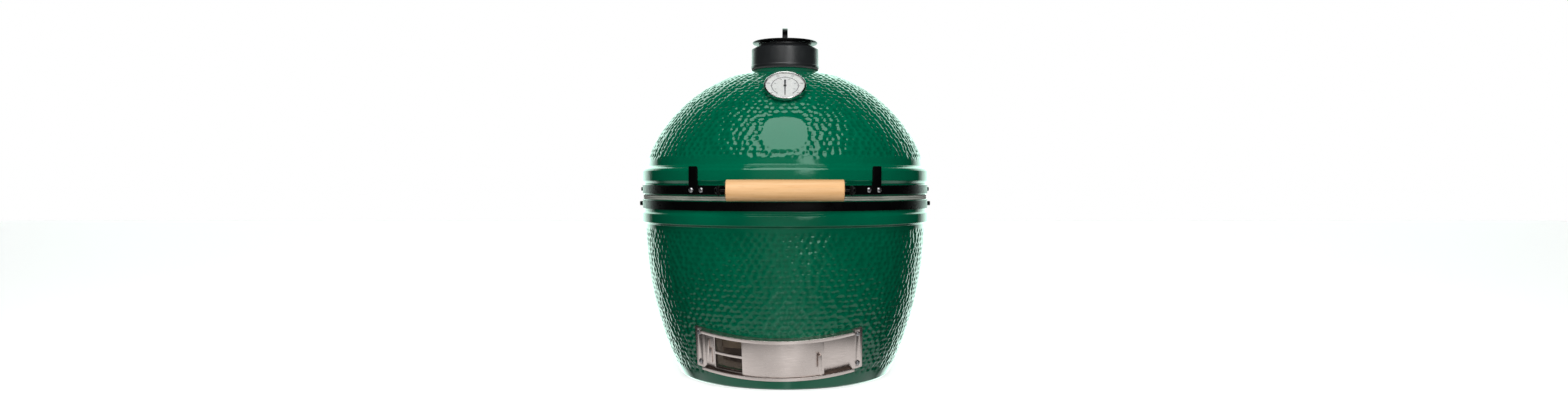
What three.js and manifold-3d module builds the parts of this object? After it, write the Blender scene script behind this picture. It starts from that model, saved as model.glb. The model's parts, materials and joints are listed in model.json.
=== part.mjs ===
// A ceramic kamado grill: an egg-shaped glazed base and a hinged dome, with the fire box, ring, grate
// and grid inside, a swinging cap with a turning damper on top, a dial thermometer, two steel bands
// that carry the hinge and the handle, and a draft door whose two panels slide in a curved frame.
// Millimetres, +Z up, the front faces -Y. The origin is the centre of the flat underside of the base.

import * as THREE from 'three';
import { mergeVertices } from 'three/addons/utils/BufferGeometryUtils.js';
import Module from 'manifold-3d';

const wasm = await Module();
wasm.setup();

// ---------------------------------------------------------------- driving dimensions

const ROUND = 36;            // facets around the large ceramic and steel rings
const INNER_ROUND = 28;      // facets around the pieces inside the base
const TRIM_ROUND = 24;       // facets around the cap and the thermometer
const BOLT_ROUND = 8;
const GAP = 0.4;             // between pieces that touch

const WALL = 24;             // ceramic wall thickness
const RIM_BORE = 312;        // inner radius of both rims
const GROOVE = 344;          // radius of the seat of each steel band
const LEDGE = 350;           // radius of the ledges above and below the bands

const FOOT_RADIUS = 250;     // flat underside of the base
const FLOOR_TOP = 30;
const BASE_RIM_Z = 421;
const DOME_RIM_Z = 430.8;
const NECK = { outer: 73.5, bore: 56, top: 778.5 };

const BAND = { inner: 344.4, outer: 347, height: 20, lowerZ: 399.5, upperZ: 434.5 };
const STRAP = { inner: 347.4, outer: 352.4 };   // steel straps bolted on the bands

const HINGE = { y: 398, z: 430, shaft: 6, boss: 12 };
const HANDLE = { y: -395, z: 444.5, radius: 22.5, half: 122.3 };

const DRAFT = { tilt: 21, turn: -3.4, radius: 325, reach: 287.4, z: 75.2, half: 50.3, span: 34.7 };
const DIAL = { y: -233, z: 679, elevation: 45, radius: 47 };
const CAP = { collarZ: 739, shoulder: 785, collarTop: 792.5, pivotY: 74 };

// ---------------------------------------------------------------- materials

const finish = (color, roughness, metalness) => new THREE.MeshStandardMaterial({ color, roughness, metalness });
const glaze = finish(0x045a3c, 0.15, 0);
const fireClay = finish(0xb9a68e, 0.9, 0);
const castIron = finish(0x2a2a2c, 0.75, 0.8);
const stainless = finish(0xaaa29c, 0.35, 0.9);
const blackSteel = finish(0x111113, 0.45, 0.6);
const capBlack = finish(0x2b2c30, 0.5, 0.3);
const felt = finish(0x969c8e, 0.95, 0);
const blackFelt = finish(0x1b1b1c, 0.95, 0);
const zincSteel = finish(0x8c8c8e, 0.4, 0.9);
const springSteel = finish(0x3a3a3d, 0.45, 0.9);
const maple = finish(0xe2b988, 0.55, 0);
const bezelSteel = finish(0xd8dad8, 0.2, 0.9);
const dialWhite = finish(0xf1f3ee, 0.6, 0);
const dialBlack = finish(0x1a1c1a, 0.6, 0);
const lensGlass = finish(0xffffff, 0.05, 0);
lensGlass.transparent = true;
lensGlass.opacity = 0.25;

// ---------------------------------------------------------------- solids

const rad = THREE.MathUtils.degToRad;

/** A copy with shared corners, no needle-thin leftovers, and its faces pointing out. */
function closed(geometry) {
  const bare = geometry.clone();
  for (const name of Object.keys(bare.attributes)) if (name !== 'position') bare.deleteAttribute(name);
  const merged = mergeVertices(bare, 1e-4);
  const at = merged.attributes.position;
  const corners = [];
  const v = [new THREE.Vector3(), new THREE.Vector3(), new THREE.Vector3()];
  let volume = 0;
  for (let i = 0; i < merged.index.count; i += 3) {
    const ids = [0, 1, 2].map((k) => merged.index.getX(i + k));
    if (ids[0] === ids[1] || ids[1] === ids[2] || ids[2] === ids[0]) continue;
    corners.push(...ids);
    ids.forEach((id, k) => v[k].fromBufferAttribute(at, id));
    volume += v[0].dot(v[1].cross(v[2]));
  }
  for (let i = 0; volume < 0 && i < corners.length; i += 3) {
    [corners[i], corners[i + 1]] = [corners[i + 1], corners[i]];
  }
  merged.setIndex(corners);
  return merged;
}

function solid(geometry) {
  const g = closed(geometry);
  return new wasm.Manifold(new wasm.Mesh({
    numProp: 3,
    vertProperties: new Float32Array(g.attributes.position.array),
    triVerts: new Uint32Array(g.index.array),
  }));
}

function geometryOf(manifold) {
  const mesh = manifold.getMesh();
  const geometry = new THREE.BufferGeometry();
  geometry.setAttribute('position', new THREE.BufferAttribute(new Float32Array(mesh.vertProperties), 3));
  geometry.setIndex(Array.from(mesh.triVerts));
  return geometry;
}

const join = (first, ...others) => geometryOf(others.reduce((sum, g) => sum.add(solid(g)), solid(first)));
const cut = (body, ...tools) => geometryOf(tools.reduce((rest, g) => rest.subtract(solid(g)), solid(body)));
const common = (first, second) => geometryOf(solid(first).intersect(solid(second)));

/** Turns a profile of [radius, z] points about Z. A profile off the axis is closed on itself. */
function turned(profile, segments = ROUND) {
  const points = profile.map(([r, z]) => new THREE.Vector2(r, z));
  const onAxis = profile[0][0] === 0 && profile.at(-1)[0] === 0;
  if (!onAxis) points.push(points[0].clone());
  return closed(new THREE.LatheGeometry(points, segments).rotateX(Math.PI / 2));
}

/** A ring of rectangular section. */
const ring = (inner, outer, z0, z1, segments = ROUND) =>
  turned([[inner, z0], [outer, z0], [outer, z1], [inner, z1]], segments);

const shapeOf = (points) => new THREE.Shape(points.map(([x, y]) => new THREE.Vector2(x, y)));

/** An outline of [x, y] points, raised from z0 to z1. */
const prism = (points, z0, z1) =>
  closed(new THREE.ExtrudeGeometry(shapeOf(points), { depth: z1 - z0, bevelEnabled: false }).translate(0, 0, z0));

/** An outline of [y, z] points, carried along X from x0 to x1. */
function sidePlate(points, x0, x1) {
  const upright = new THREE.Matrix4().makeBasis(
    new THREE.Vector3(0, 1, 0), new THREE.Vector3(0, 0, 1), new THREE.Vector3(1, 0, 0));
  return closed(prism(points, x0, x1).applyMatrix4(upright));
}

/** [x, y] at an azimuth in degrees, counted from the front (-Y) towards +X. */
const polar = (radius, azimuth) => [radius * Math.sin(rad(azimuth)), -radius * Math.cos(rad(azimuth))];

/** A curved plate between two radii, two azimuths and two heights. */
function sector(inner, outer, from, to, z0, z1, steps = 10) {
  const along = (radius, a, b) =>
    Array.from({ length: steps + 1 }, (_, i) => polar(radius, a + (b - a) * i / steps));
  return prism([...along(inner, from, to), ...along(outer, to, from)], z0, z1);
}

const block = (x0, x1, y0, y1, z0, z1) =>
  closed(new THREE.BoxGeometry(x1 - x0, y1 - y0, z1 - z0)
    .translate((x0 + x1) / 2, (y0 + y1) / 2, (z0 + z1) / 2));

/** A solid rod along +Z from z0 to z1. */
const rod = (radius, z0, z1, segments = BOLT_ROUND) =>
  turned([[0, z0], [radius, z0], [radius, z1], [0, z1]], segments);

/** The turn and shift that carry +Z to a direction and the origin to a point. */
function aim(point, direction) {
  const turn = new THREE.Quaternion().setFromUnitVectors(
    new THREE.Vector3(0, 0, 1), new THREE.Vector3(...direction).normalize());
  return new THREE.Matrix4().compose(new THREE.Vector3(...point), turn, new THREE.Vector3(1, 1, 1));
}

const aimed = (geometry, point, direction) => closed(geometry.clone().applyMatrix4(aim(point, direction)));

/** A bolt with its bearing face at z = 0, its head above and its shank below. */
function bolt(head, headHeight, shank, length) {
  const edge = head * 0.2;
  return turned([[0, -length], [shank, -length], [shank, 0], [head, 0],
    [head, headHeight - edge], [head - edge, headHeight], [0, headHeight]], BOLT_ROUND);
}

// ---------------------------------------------------------------- the tree of parts

const grill = new THREE.Group();

/** Hangs a named mesh in a group. */
function add(name, geometry, material, parent = grill) {
  const mesh = new THREE.Mesh(geometry, material);
  mesh.name = name;
  parent.add(mesh);
  return mesh;
}

/** Hangs a named mesh that is placed by a matrix. */
function addAt(name, geometry, material, matrix, parent = grill) {
  const mesh = add(name, geometry, material, parent);
  matrix.decompose(mesh.position, mesh.quaternion, mesh.scale);
  return mesh;
}

const radialOut = (azimuth) => [...polar(1, azimuth), 0];
const onRadius = (radius, azimuth, z) => [...polar(radius, azimuth), z];

/** A radial hole through a wall that runs from one radius to another. */
const radialHole = (azimuth, z, radius, from, to) =>
  aimed(rod(radius, from, to), [0, 0, z], radialOut(azimuth));

// ---------------------------------------------------------------- draft door frame of reference

// The sheet-metal frame is part of a cylinder whose axis leans outwards with the wall of the base.
const draftGroup = new THREE.Group();
draftGroup.rotation.z = rad(DRAFT.turn);
const draftAxis = new THREE.Group();
draftAxis.position.set(
  0, DRAFT.radius * Math.cos(rad(DRAFT.tilt)) - DRAFT.reach, DRAFT.z + DRAFT.radius * Math.sin(rad(DRAFT.tilt)));
draftAxis.rotation.x = rad(DRAFT.tilt);
draftGroup.add(draftAxis);
grill.add(draftGroup);
draftAxis.updateWorldMatrix(true, false);
const draftMatrix = draftAxis.matrixWorld.clone();
const inGrill = (geometry) => closed(geometry.clone().applyMatrix4(draftMatrix));
const inDraft = (geometry) => closed(geometry.clone().applyMatrix4(draftMatrix.clone().invert()));

const OPENING = { from: -25, to: -1.5, half: 34 };           // air opening through the ceramic
const FRAME_SCREWS = { azimuth: 32.6, height: 37, hole: 3.3, shank: 2.8, depth: 18 };
const screwSpots = [-1, 1].flatMap((side) => [-1, 1].map((level) =>
  ({ side, level, azimuth: side * FRAME_SCREWS.azimuth, height: level * FRAME_SCREWS.height })));

// ---------------------------------------------------------------- ceramic base and dome

/** Outer radius of the base: a belly that draws in towards the foot. */
const baseRadius = (z) => 341.6 - 87.8 * (1 - z / 446.7) ** 2.54;

/** Outer radius of the dome: a squarish egg, from its widest height up. */
const domeRadius = (z) => 333.6 * (1 - ((z - 510.2) / 227.9) ** 1.378) ** (1 / 2.236);

const wallPoint = (z) => [baseRadius(z), z];
const baseOuter = [
  [0, 0], [FOOT_RADIUS, 0], [FOOT_RADIUS + 5.5, 4],
  ...[22, 60, 110, 170, 240, 310, 362].map(wallPoint),
  [346, 365], [LEDGE, 369], [LEDGE, 388], [345.5, 392.5], [GROOVE, 396.5], [GROOVE, BASE_RIM_Z],
];
const baseInner = [
  [RIM_BORE, BASE_RIM_Z], [RIM_BORE, 340],
  ...[250, 170, 110, 60].map((z) => [baseRadius(z) - WALL, z]),
  [238, 37], [226, FLOOR_TOP], [0, FLOOR_TOP],
];

const airOpening = sector(
  DRAFT.radius - 60, DRAFT.radius + 15, OPENING.from, OPENING.to, -OPENING.half, OPENING.half, 6);
const screwHoles = screwSpots.map(({ azimuth, height }) =>
  aimed(rod(FRAME_SCREWS.hole, DRAFT.radius - FRAME_SCREWS.depth - 2, DRAFT.radius + 15),
    [0, 0, height], radialOut(azimuth)));

add('base', cut(turned([...baseOuter, ...baseInner]), ...[airOpening, ...screwHoles].map(inGrill)), glaze);

/** The inner skin of the dome: its outer skin moved in by the wall thickness, square to the surface. */
function domeInside(z) {
  const step = 0.5;
  const slope = (domeRadius(z + step) - domeRadius(z - step)) / (2 * step);
  const length = Math.hypot(1, slope);
  return [domeRadius(z) - WALL / length, z + WALL * slope / length];
}

const domeOuter = [
  [RIM_BORE + 1, DOME_RIM_Z], [341.5, DOME_RIM_Z], [GROOVE, 433.2], [GROOVE, 457], [347, 459.5],
  [347.5, 464], [LEDGE, 467], [LEDGE, 487], [347, 491], [334.5, 499],
  ...[512, 550, 590, 624, 655, 683, 705, 720].map((z) => [domeRadius(z), z]),
  [90, 729.2], [82, 733], [NECK.outer, 734.6], [NECK.outer, NECK.top],
];
const domeInner = [
  [NECK.bore, NECK.top], [NECK.bore, 706],
  ...[715, 688, 655, 610, 560, 516].map(domeInside),
  [RIM_BORE - 2, 480], [RIM_BORE, 450],
];

const dialNormal = [0, -Math.cos(rad(DIAL.elevation)), Math.sin(rad(DIAL.elevation))];
const dialMatrix = aim([0, DIAL.y, DIAL.z], dialNormal);
const STEM = { radius: 4.5, hole: 5.6, length: 140 };
const stemHole = closed(rod(STEM.hole, -90, -5, 12).applyMatrix4(dialMatrix));

add('dome', cut(turned([...domeOuter, ...domeInner]), stemHole), glaze);

add('base_gasket', ring(RIM_BORE + 1, 345, BASE_RIM_Z + 0.3, 425.7), felt);
add('dome_gasket', ring(RIM_BORE + 1, 345, 426.1, DOME_RIM_Z - 0.3), felt);

// ---------------------------------------------------------------- inside the base

const FIRE_BOX = { top: 250, holeZ: 168, holes: 8, hole: 5, archHalf: 68, archTop: 88 };
const fireBoxProfile = [
  [226, FLOOR_TOP + 0.5], [264, 120], [286, 200], [291, FIRE_BOX.top], [271, FIRE_BOX.top],
  [264, 200], [243, 155], [180, 128], [113, 120], [113, 113], [101, 113], [101, 103],
  [205, 98], [203, FLOOR_TOP + 0.5],
];
const draftAzimuth = DRAFT.turn + (OPENING.from + OPENING.to) / 2 * DRAFT.radius / DRAFT.reach;
const ashArch = block(-FIRE_BOX.archHalf, FIRE_BOX.archHalf, -280, -150, FLOOR_TOP - 5, FIRE_BOX.archTop)
  .rotateZ(rad(draftAzimuth));
const airHoles = Array.from({ length: FIRE_BOX.holes }, (_, i) =>
  radialHole(22.5 + i * 360 / FIRE_BOX.holes, FIRE_BOX.holeZ, FIRE_BOX.hole, 225, 300));
add('fire_box', cut(turned(fireBoxProfile, INNER_ROUND), ashArch, ...airHoles), fireClay);

const FIRE_RING_TOP = 404;
add('fire_ring', ring(281, 303, FIRE_BOX.top + GAP, FIRE_RING_TOP, INNER_ROUND), fireClay);

const GRATE = { radius: 111, z: 113.4, height: 8, slots: 4, slot: 7, pitch: 21 };
const grateSlots = [];
for (let i = -GRATE.slots; i <= GRATE.slots; i++) {
  const x = i * GRATE.pitch;
  const reach = Math.sqrt((GRATE.radius - 13) ** 2 - x * x);
  grateSlots.push(block(x - GRATE.slot / 2, x + GRATE.slot / 2, -reach, reach, GRATE.z - 5, GRATE.z + 20));
}
add('fire_grate', cut(rod(GRATE.radius, GRATE.z, GRATE.z + GRATE.height, INNER_ROUND), ...grateSlots), castIron);

const GRID = { radius: 304.8, rim: 8, z: FIRE_RING_TOP + GAP, bar: 5, bars: 18, pitch: 15.6 };
const gridBars = [];
for (let i = -GRID.bars; i <= GRID.bars; i++) {
  const x = i * GRID.pitch;
  const reach = Math.sqrt((GRID.radius - GRID.rim / 2 - 1) ** 2 - x * x);
  gridBars.push(block(x - GRID.bar / 2, x + GRID.bar / 2, -reach, reach, GRID.z + 2.6, GRID.z + 2.6 + GRID.bar));
}
const crossBars = [-1, 1].map((side) => (
  block(-283, 283, side * 100 - 3, side * 100 + 3, GRID.z + 0.5, GRID.z + 3.5)));
add('cooking_grid', join(
  ring(GRID.radius - GRID.rim, GRID.radius, GRID.z, GRID.z + GRID.rim, INNER_ROUND), ...crossBars, ...gridBars),
stainless);

// ---------------------------------------------------------------- steel bands and their bolts

const BOLT = { shank: 3, hole: 3.5 };
const HANDLE_BOLTS = [30.9, 34.8];      // azimuths of the two bolts of each handle bracket
const HINGE_BOLT = 5.5;                 // azimuth of the hinge bracket's bolts from the back
const SIDE = 90;
const lowerBandZ = BAND.lowerZ + BAND.height / 2;
const upperBandZ = BAND.upperZ + BAND.height / 2;
const bandHole = (azimuth, z) => radialHole(azimuth, z, BOLT.hole, BAND.inner - 3, STRAP.outer + 6);

const lowerHoles = [SIDE, -SIDE, 180 - HINGE_BOLT, 180 + HINGE_BOLT];
const upperHoles = [...lowerHoles, ...HANDLE_BOLTS, ...HANDLE_BOLTS.map((a) => -a)];
add('lower_band', cut(ring(BAND.inner, BAND.outer, BAND.lowerZ, BAND.lowerZ + BAND.height),
  ...lowerHoles.map((a) => bandHole(a, lowerBandZ))), blackSteel);
add('upper_band', cut(ring(BAND.inner, BAND.outer, BAND.upperZ, BAND.upperZ + BAND.height),
  ...upperHoles.map((a) => bandHole(a, upperBandZ))), blackSteel);

/** A bolt in a band: its head bears at a radius and its shank stops short of the ceramic. */
function bandBolt(name, azimuth, z, bearing, head, headHeight, material) {
  addAt(name, bolt(head, headHeight, BOLT.shank, bearing - BAND.inner - 0.2), material,
    aim(onRadius(bearing, azimuth, z), radialOut(azimuth)));
}

for (const [side, sign] of [['left', -1], ['right', 1]]) {
  bandBolt(`lower_band_bolt_${side}`, sign * SIDE, lowerBandZ, BAND.outer + GAP, 5.5, 9.6, blackSteel);
  bandBolt(`upper_band_bolt_${side}`, sign * SIDE, upperBandZ, BAND.outer + GAP, 4.8, 6.4, blackSteel);
}

// ---------------------------------------------------------------- hinge at the back

const STRAP_HALF = 12;       // half-width of each hinge strap, in degrees about the back
const LOWER_LUG = [52, 58];  // |x| of the lugs on each side
const UPPER_LUG = [60.5, 66.5];

/** A lug from a strap to the hinge shaft, with a round boss. from and to are the boss's end angles. */
function lug(foot, from, to, x0, x1) {
  const steps = 8;
  const boss = Array.from({ length: steps + 1 }, (_, i) => {
    const a = rad(from + (to - from) * i / steps);
    return [HINGE.y + HINGE.boss * Math.cos(a), HINGE.z + HINGE.boss * Math.sin(a)];
  });
  return sidePlate([...foot, ...boss], x0, x1);
}

function hingeBracket(z0, foot, from, to, [x0, x1]) {
  const strap = sector(STRAP.inner, STRAP.outer, 180 - STRAP_HALF, 180 + STRAP_HALF, z0, z0 + BAND.height, 6);
  const lugs = [lug(foot, from, to, x0, x1), lug(foot, from, to, -x1, -x0)];
  const bore = aimed(rod(HINGE.shaft + 0.4, -80, 80, 16), [0, HINGE.y, HINGE.z], [1, 0, 0]);
  const holes = [-1, 1].map((s) => bandHole(180 + s * HINGE_BOLT, z0 + BAND.height / 2));
  return cut(join(strap, ...lugs), bore, ...holes);
}

add('lower_hinge_bracket', hingeBracket(BAND.lowerZ,
  [[346, BAND.lowerZ + 1], [346, BAND.lowerZ + BAND.height - 0.3], [374, 424]], 125, -95, LOWER_LUG), blackSteel);
add('upper_hinge_bracket', hingeBracket(BAND.upperZ + 0.3,
  [[344, BAND.upperZ + 0.6], [344, BAND.upperZ + BAND.height], [374, 449]], 70, -150, UPPER_LUG), blackSteel);

const SHAFT_HALF = 74;
const NUT = { radius: 10, inner: 67.2 };
addAt('hinge_shaft', rod(HINGE.shaft, -SHAFT_HALF, SHAFT_HALF, 16), zincSteel,
  aim([0, HINGE.y, HINGE.z], [1, 0, 0]));
for (const [side, sign] of [['left', -1], ['right', 1]]) {
  addAt(`hinge_nut_${side}`, ring(HINGE.shaft + 0.4, NUT.radius, NUT.inner, SHAFT_HALF - 0.5, 16), zincSteel,
    aim([0, HINGE.y, HINGE.z], [sign, 0, 0]));
  bandBolt(`lower_hinge_bolt_${side}`, 180 - sign * HINGE_BOLT, lowerBandZ, STRAP.outer + GAP, 6, 4.5, zincSteel);
  bandBolt(`upper_hinge_bolt_${side}`, 180 - sign * HINGE_BOLT, upperBandZ + 0.3, STRAP.outer + GAP, 6, 4.5,
    zincSteel);
}

// The torsion springs push the dome's strap up against the base's strap, to carry most of its weight.
const SPRING = { radius: 15, wire: 2.9, turns: 5, near: 10, far: 46, tipY: 349 };
SPRING.liftTip = BAND.upperZ - 1 - SPRING.wire;
SPRING.restTip = BAND.lowerZ + BAND.height + 1 + SPRING.wire;

/** The angle at which a straight leg from a tip leaves the coil; side is 1 above the shaft, -1 below. */
function legAngle(tipZ, side) {
  const dy = SPRING.tipY - HINGE.y;
  const dz = tipZ - HINGE.z;
  return Math.atan2(dz, dy) + (dz < 0 ? 2 * Math.PI : 0) - side * Math.acos(SPRING.radius / Math.hypot(dy, dz));
}

function springPath(sign) {
  const start = legAngle(SPRING.liftTip, 1);
  const end = legAngle(SPRING.restTip, -1) - 2 * Math.PI * (SPRING.turns + 1);
  const coil = (a, x) => new THREE.Vector3(
    sign * x, HINGE.y + SPRING.radius * Math.cos(a), HINGE.z + SPRING.radius * Math.sin(a));
  const steps = 40;
  const points = [];
  for (let i = 0; i <= steps; i++) {
    points.push(coil(start + (end - start) * i / steps, SPRING.near + (SPRING.far - SPRING.near) * i / steps));
  }
  const lift = new THREE.Vector3(sign * SPRING.near, SPRING.tipY, SPRING.liftTip);
  const rest = new THREE.Vector3(sign * SPRING.far, SPRING.tipY, SPRING.restTip);
  return [lift, lift.clone().lerp(points[0], 0.5), ...points, rest.clone().lerp(points.at(-1), 0.5), rest];
}

function wire(points, radius, sides = 6) {
  const section = shapeOf(Array.from({ length: sides }, (_, i) =>
    [radius * Math.cos(2 * Math.PI * i / sides), radius * Math.sin(2 * Math.PI * i / sides)]));
  const extrudePath = new THREE.CatmullRomCurve3(points);
  const options = { steps: points.length - 1, extrudePath, bevelEnabled: false };
  return closed(new THREE.ExtrudeGeometry(section, options));
}

for (const [side, sign] of [['left', -1], ['right', 1]]) {
  add(`hinge_spring_${side}`, wire(springPath(sign), SPRING.wire), springSteel);
}

// ---------------------------------------------------------------- handle at the front

const BRACKET = {
  plateTo: 37.5, armFrom: 28, thickness: 5, flangeX: 136.8, tipY: -413, prong: 34.3, prongHalf: 11,
};
const bracketZ = [BAND.upperZ, BAND.upperZ + BAND.height];

/** The bent flat bar of a handle bracket in plan: along the band, then out in a curve to the flange. */
function bracketPlan() {
  const middle = (STRAP.inner + STRAP.outer) / 2;
  const steps = 4;
  const plate = Array.from({ length: steps + 1 }, (_, i) =>
    polar(middle, BRACKET.plateTo + (BRACKET.armFrom - BRACKET.plateTo) * i / steps));
  const [x, y] = plate.at(-1);
  const bend = new THREE.CubicBezierCurve(
    new THREE.Vector2(x, y),
    new THREE.Vector2(x - 20 * Math.cos(rad(BRACKET.armFrom)), y - 20 * Math.sin(rad(BRACKET.armFrom))),
    new THREE.Vector2(BRACKET.flangeX, -338),
    new THREE.Vector2(BRACKET.flangeX, -372));
  const corner = bend.getPoints(7).slice(1).map((p) => [p.x, p.y]);
  const centre = [...plate, ...corner, [BRACKET.flangeX, BRACKET.tipY]];
  return offsetStrip(centre, BRACKET.thickness / 2);
}

/** The outline of a bar of even thickness about a centre line. */
function offsetStrip(centre, half) {
  const side = (sign) => centre.map(([x, y], i) => {
    const [ax, ay] = centre[Math.max(i - 1, 0)];
    const [bx, by] = centre[Math.min(i + 1, centre.length - 1)];
    const length = Math.hypot(bx - ax, by - ay);
    return [x - sign * half * (by - ay) / length, y + sign * half * (bx - ax) / length];
  });
  return [...side(1), ...side(-1).reverse()];
}

const prongOutline = [
  [-BRACKET.prongHalf, bracketZ[0]], [BRACKET.prongHalf, bracketZ[0]],
  [BRACKET.prongHalf, 496], [-BRACKET.prongHalf, 496],
];
const prongBody = closed(prism(prongOutline, 0, BRACKET.thickness).rotateX(Math.PI / 2));
const prongChamfer = sidePlate([[-7, 491.5], [-7, 500], [0.5, 500]], -20, 20);
const prong = closed(cut(prongBody, prongChamfer)
  .translate(0, -(LEDGE + 0.8), 0).rotateZ(rad(BRACKET.prong)));

const handleAxis = [0, HANDLE.y, HANDLE.z];
const END_BOLT = { shank: 3.5, hole: 3.9, inner: 100, head: 7.5 };
const endBore = aimed(rod(END_BOLT.hole, END_BOLT.inner - 1, 160), handleAxis, [1, 0, 0]);
const rightBracket = cut(join(prism(bracketPlan(), ...bracketZ), prong), endBore,
  ...HANDLE_BOLTS.map((a) => bandHole(a, upperBandZ)));
const mirrored = (geometry) => closed(geometry.clone().scale(-1, 1, 1));
add('handle_bracket_right', rightBracket, blackSteel);
add('handle_bracket_left', mirrored(rightBracket), blackSteel);

for (const [side, sign] of [['left', -1], ['right', 1]]) {
  bandBolt(`bracket_bolt_${side}_inner`, sign * HANDLE_BOLTS[0], upperBandZ, STRAP.outer + GAP, 6, 4.5, zincSteel);
  bandBolt(`bracket_bolt_${side}_outer`, sign * HANDLE_BOLTS[1], upperBandZ, LEDGE + 6.4, 6, 4.5, zincSteel);
  const bearing = BRACKET.flangeX + BRACKET.thickness / 2 + GAP;
  addAt(`handle_bolt_${side}`, bolt(END_BOLT.head, 5, END_BOLT.shank, bearing - END_BOLT.inner), blackSteel,
    aim([sign * bearing, HANDLE.y, HANDLE.z], [sign, 0, 0]));
}

const { half, radius } = HANDLE;
const gripProfile = [[0, -half], [radius - 2.5, -half], [radius, -half + 3], [radius, half - 3],
  [radius - 2.5, half], [0, half]];
const grip = aimed(turned(gripProfile, 20), handleAxis, [1, 0, 0]);
add('handle_grip', cut(grip, endBore, mirrored(endBore)), maple);

// ---------------------------------------------------------------- cap and damper

add('cap_gasket', ring(NECK.outer + 0.7, 81.5, 735, CAP.collarZ - 0.3, TRIM_ROUND), blackFelt);

const { collarZ, shoulder, collarTop, pivotY } = CAP;
const collarBody = turned([
  [NECK.outer + 0.9, collarZ], [83, collarZ], [83, collarZ + 5], [82, collarZ + 6.5], [81.5, shoulder],
  [67, collarTop], [52, collarTop], [52, NECK.top + 0.6], [NECK.outer + 0.9, NECK.top + 0.6],
], TRIM_ROUND);
const PIVOT = { boss: 9, hole: 4.5, pin: 4 };
const at = (geometry, x, y) => closed(geometry.clone().translate(x, y, 0));
add('cap_collar', cut(
  join(collarBody, at(rod(PIVOT.boss, NECK.top + 0.6, collarTop, 16), 0, pivotY)),
  at(rod(PIVOT.hole, 770, 800, 12), 0, pivotY)), capBlack);
add('cap_pivot_pin', at(turned([[0, 779.6], [PIVOT.pin, 779.6], [PIVOT.pin, 796.2], [6.5, 796.2],
  [6.5, 797.8], [5.7, 798.6], [0, 798.6]], 12), 0, pivotY), zincSteel);

const DRUM = { radius: 64.5, top: 798.6, plate: 795, lug: 795.9, bore: 57 };
const PORT = { inner: 20, outer: 50, half: 20, count: 4 };   // air ports, half in degrees
const ports = (offset, z0, z1) => Array.from({ length: PORT.count }, (_, i) => {
  const middle = offset + i * 360 / PORT.count;
  return sector(PORT.inner, PORT.outer, middle - PORT.half, middle + PORT.half, z0, z1, 4);
});
const SPINDLE = { pin: 2.8, hole: 3.3, blindTop: 805.5 };
const drum = turned([
  [SPINDLE.hole, DRUM.plate], [DRUM.bore, DRUM.plate], [DRUM.bore, collarTop + GAP],
  [DRUM.radius, collarTop + GAP], [DRUM.radius, DRUM.top], [SPINDLE.hole, DRUM.top],
], TRIM_ROUND);
const swingLug = join(at(rod(PIVOT.boss, collarTop + GAP, DRUM.lug, 16), 0, pivotY),
  block(-8, 8, 60, pivotY, collarTop + GAP, DRUM.lug));
add('swing_lid', cut(join(drum, swingLug), at(rod(PIVOT.hole, 780, 800, 12), 0, pivotY),
  ...ports(0, 790, 810)), capBlack);

const DISC = { radius: 79.3, bottom: DRUM.top + GAP };
const disc = turned([
  [0, SPINDLE.blindTop], [SPINDLE.hole, SPINDLE.blindTop], [SPINDLE.hole, DISC.bottom], [77.5, DISC.bottom],
  [DISC.radius, 800.5], [DISC.radius, 802.5], [77, 804.3], [60, 805.5], [30, 809], [0, 810.5],
], TRIM_ROUND);
const FIN = { half: 6.5, z0: 805.6, top: 836, reach: 54 };
const finSection = [[-FIN.half, FIN.z0], [FIN.half, FIN.z0]];
for (let i = 0; i <= 6; i++) {
  const a = Math.PI * i / 6;
  finSection.push([FIN.half * Math.cos(a), FIN.top - FIN.half + FIN.half * Math.sin(a)]);
}
const finBar = closed(prism(finSection, -FIN.reach, FIN.reach).rotateX(Math.PI / 2));
const finSide = sidePlate([[-FIN.reach, FIN.z0], [FIN.reach, FIN.z0], [FIN.reach - 3, 814], [32, 829],
  [14, FIN.top], [-14, FIN.top], [-32, 829], [3 - FIN.reach, 814]], -20, 20);
add('damper_disc', join(cut(disc, ...ports(45, 795, 820)), common(finBar, finSide)), blackSteel);
add('damper_pin', turned([[0, CAP.collarTop + 0.6], [7, CAP.collarTop + 0.6], [7, DRUM.plate - 0.3], [SPINDLE.pin, DRUM.plate - 0.3],
  [SPINDLE.pin, SPINDLE.blindTop - 0.5], [0, SPINDLE.blindTop - 0.5]], 12), zincSteel);

// ---------------------------------------------------------------- dome thermometer

// Drawn with its axis up and the front of the bezel at z = 0.
const thermometer = new THREE.Group();
dialMatrix.decompose(thermometer.position, thermometer.quaternion, thermometer.scale);
grill.add(thermometer);

const bezel = DIAL.radius;
const face = bezel - 3.4;
add('thermometer_case', turned([
  [STEM.radius + 0.5, -12], [29, -12], [30, -8.5], [bezel - 1, -8.5], [bezel, -7], [bezel, -1.4],
  [bezel - 1.4, 0], [face, 0], [face, -6.6], [STEM.radius + 0.5, -6.6],
], TRIM_ROUND), bezelSteel, thermometer);
add('dial_face', ring(1.8, face - 0.4, -6.2, -5.4, TRIM_ROUND), dialWhite, thermometer);
add('dial_lens', rod(face - 0.4, -2.6, -0.9, TRIM_ROUND), lensGlass, thermometer);

const NEEDLE = { z: -4.8, thickness: 0.9, tip: 32, tail: 20 };
const needleBlade = prism([[-1.4, 0], [-0.9, -NEEDLE.tip], [0.9, -NEEDLE.tip], [1.4, 0], [2.2, NEEDLE.tail],
  [-2.2, NEEDLE.tail]], NEEDLE.z, NEEDLE.z + NEEDLE.thickness);
const needleHub = turned([[0, -6.5], [1.2, -6.5], [1.2, NEEDLE.z], [3.4, NEEDLE.z], [3.4, -3.6], [0, -3.6]], 8);
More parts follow.
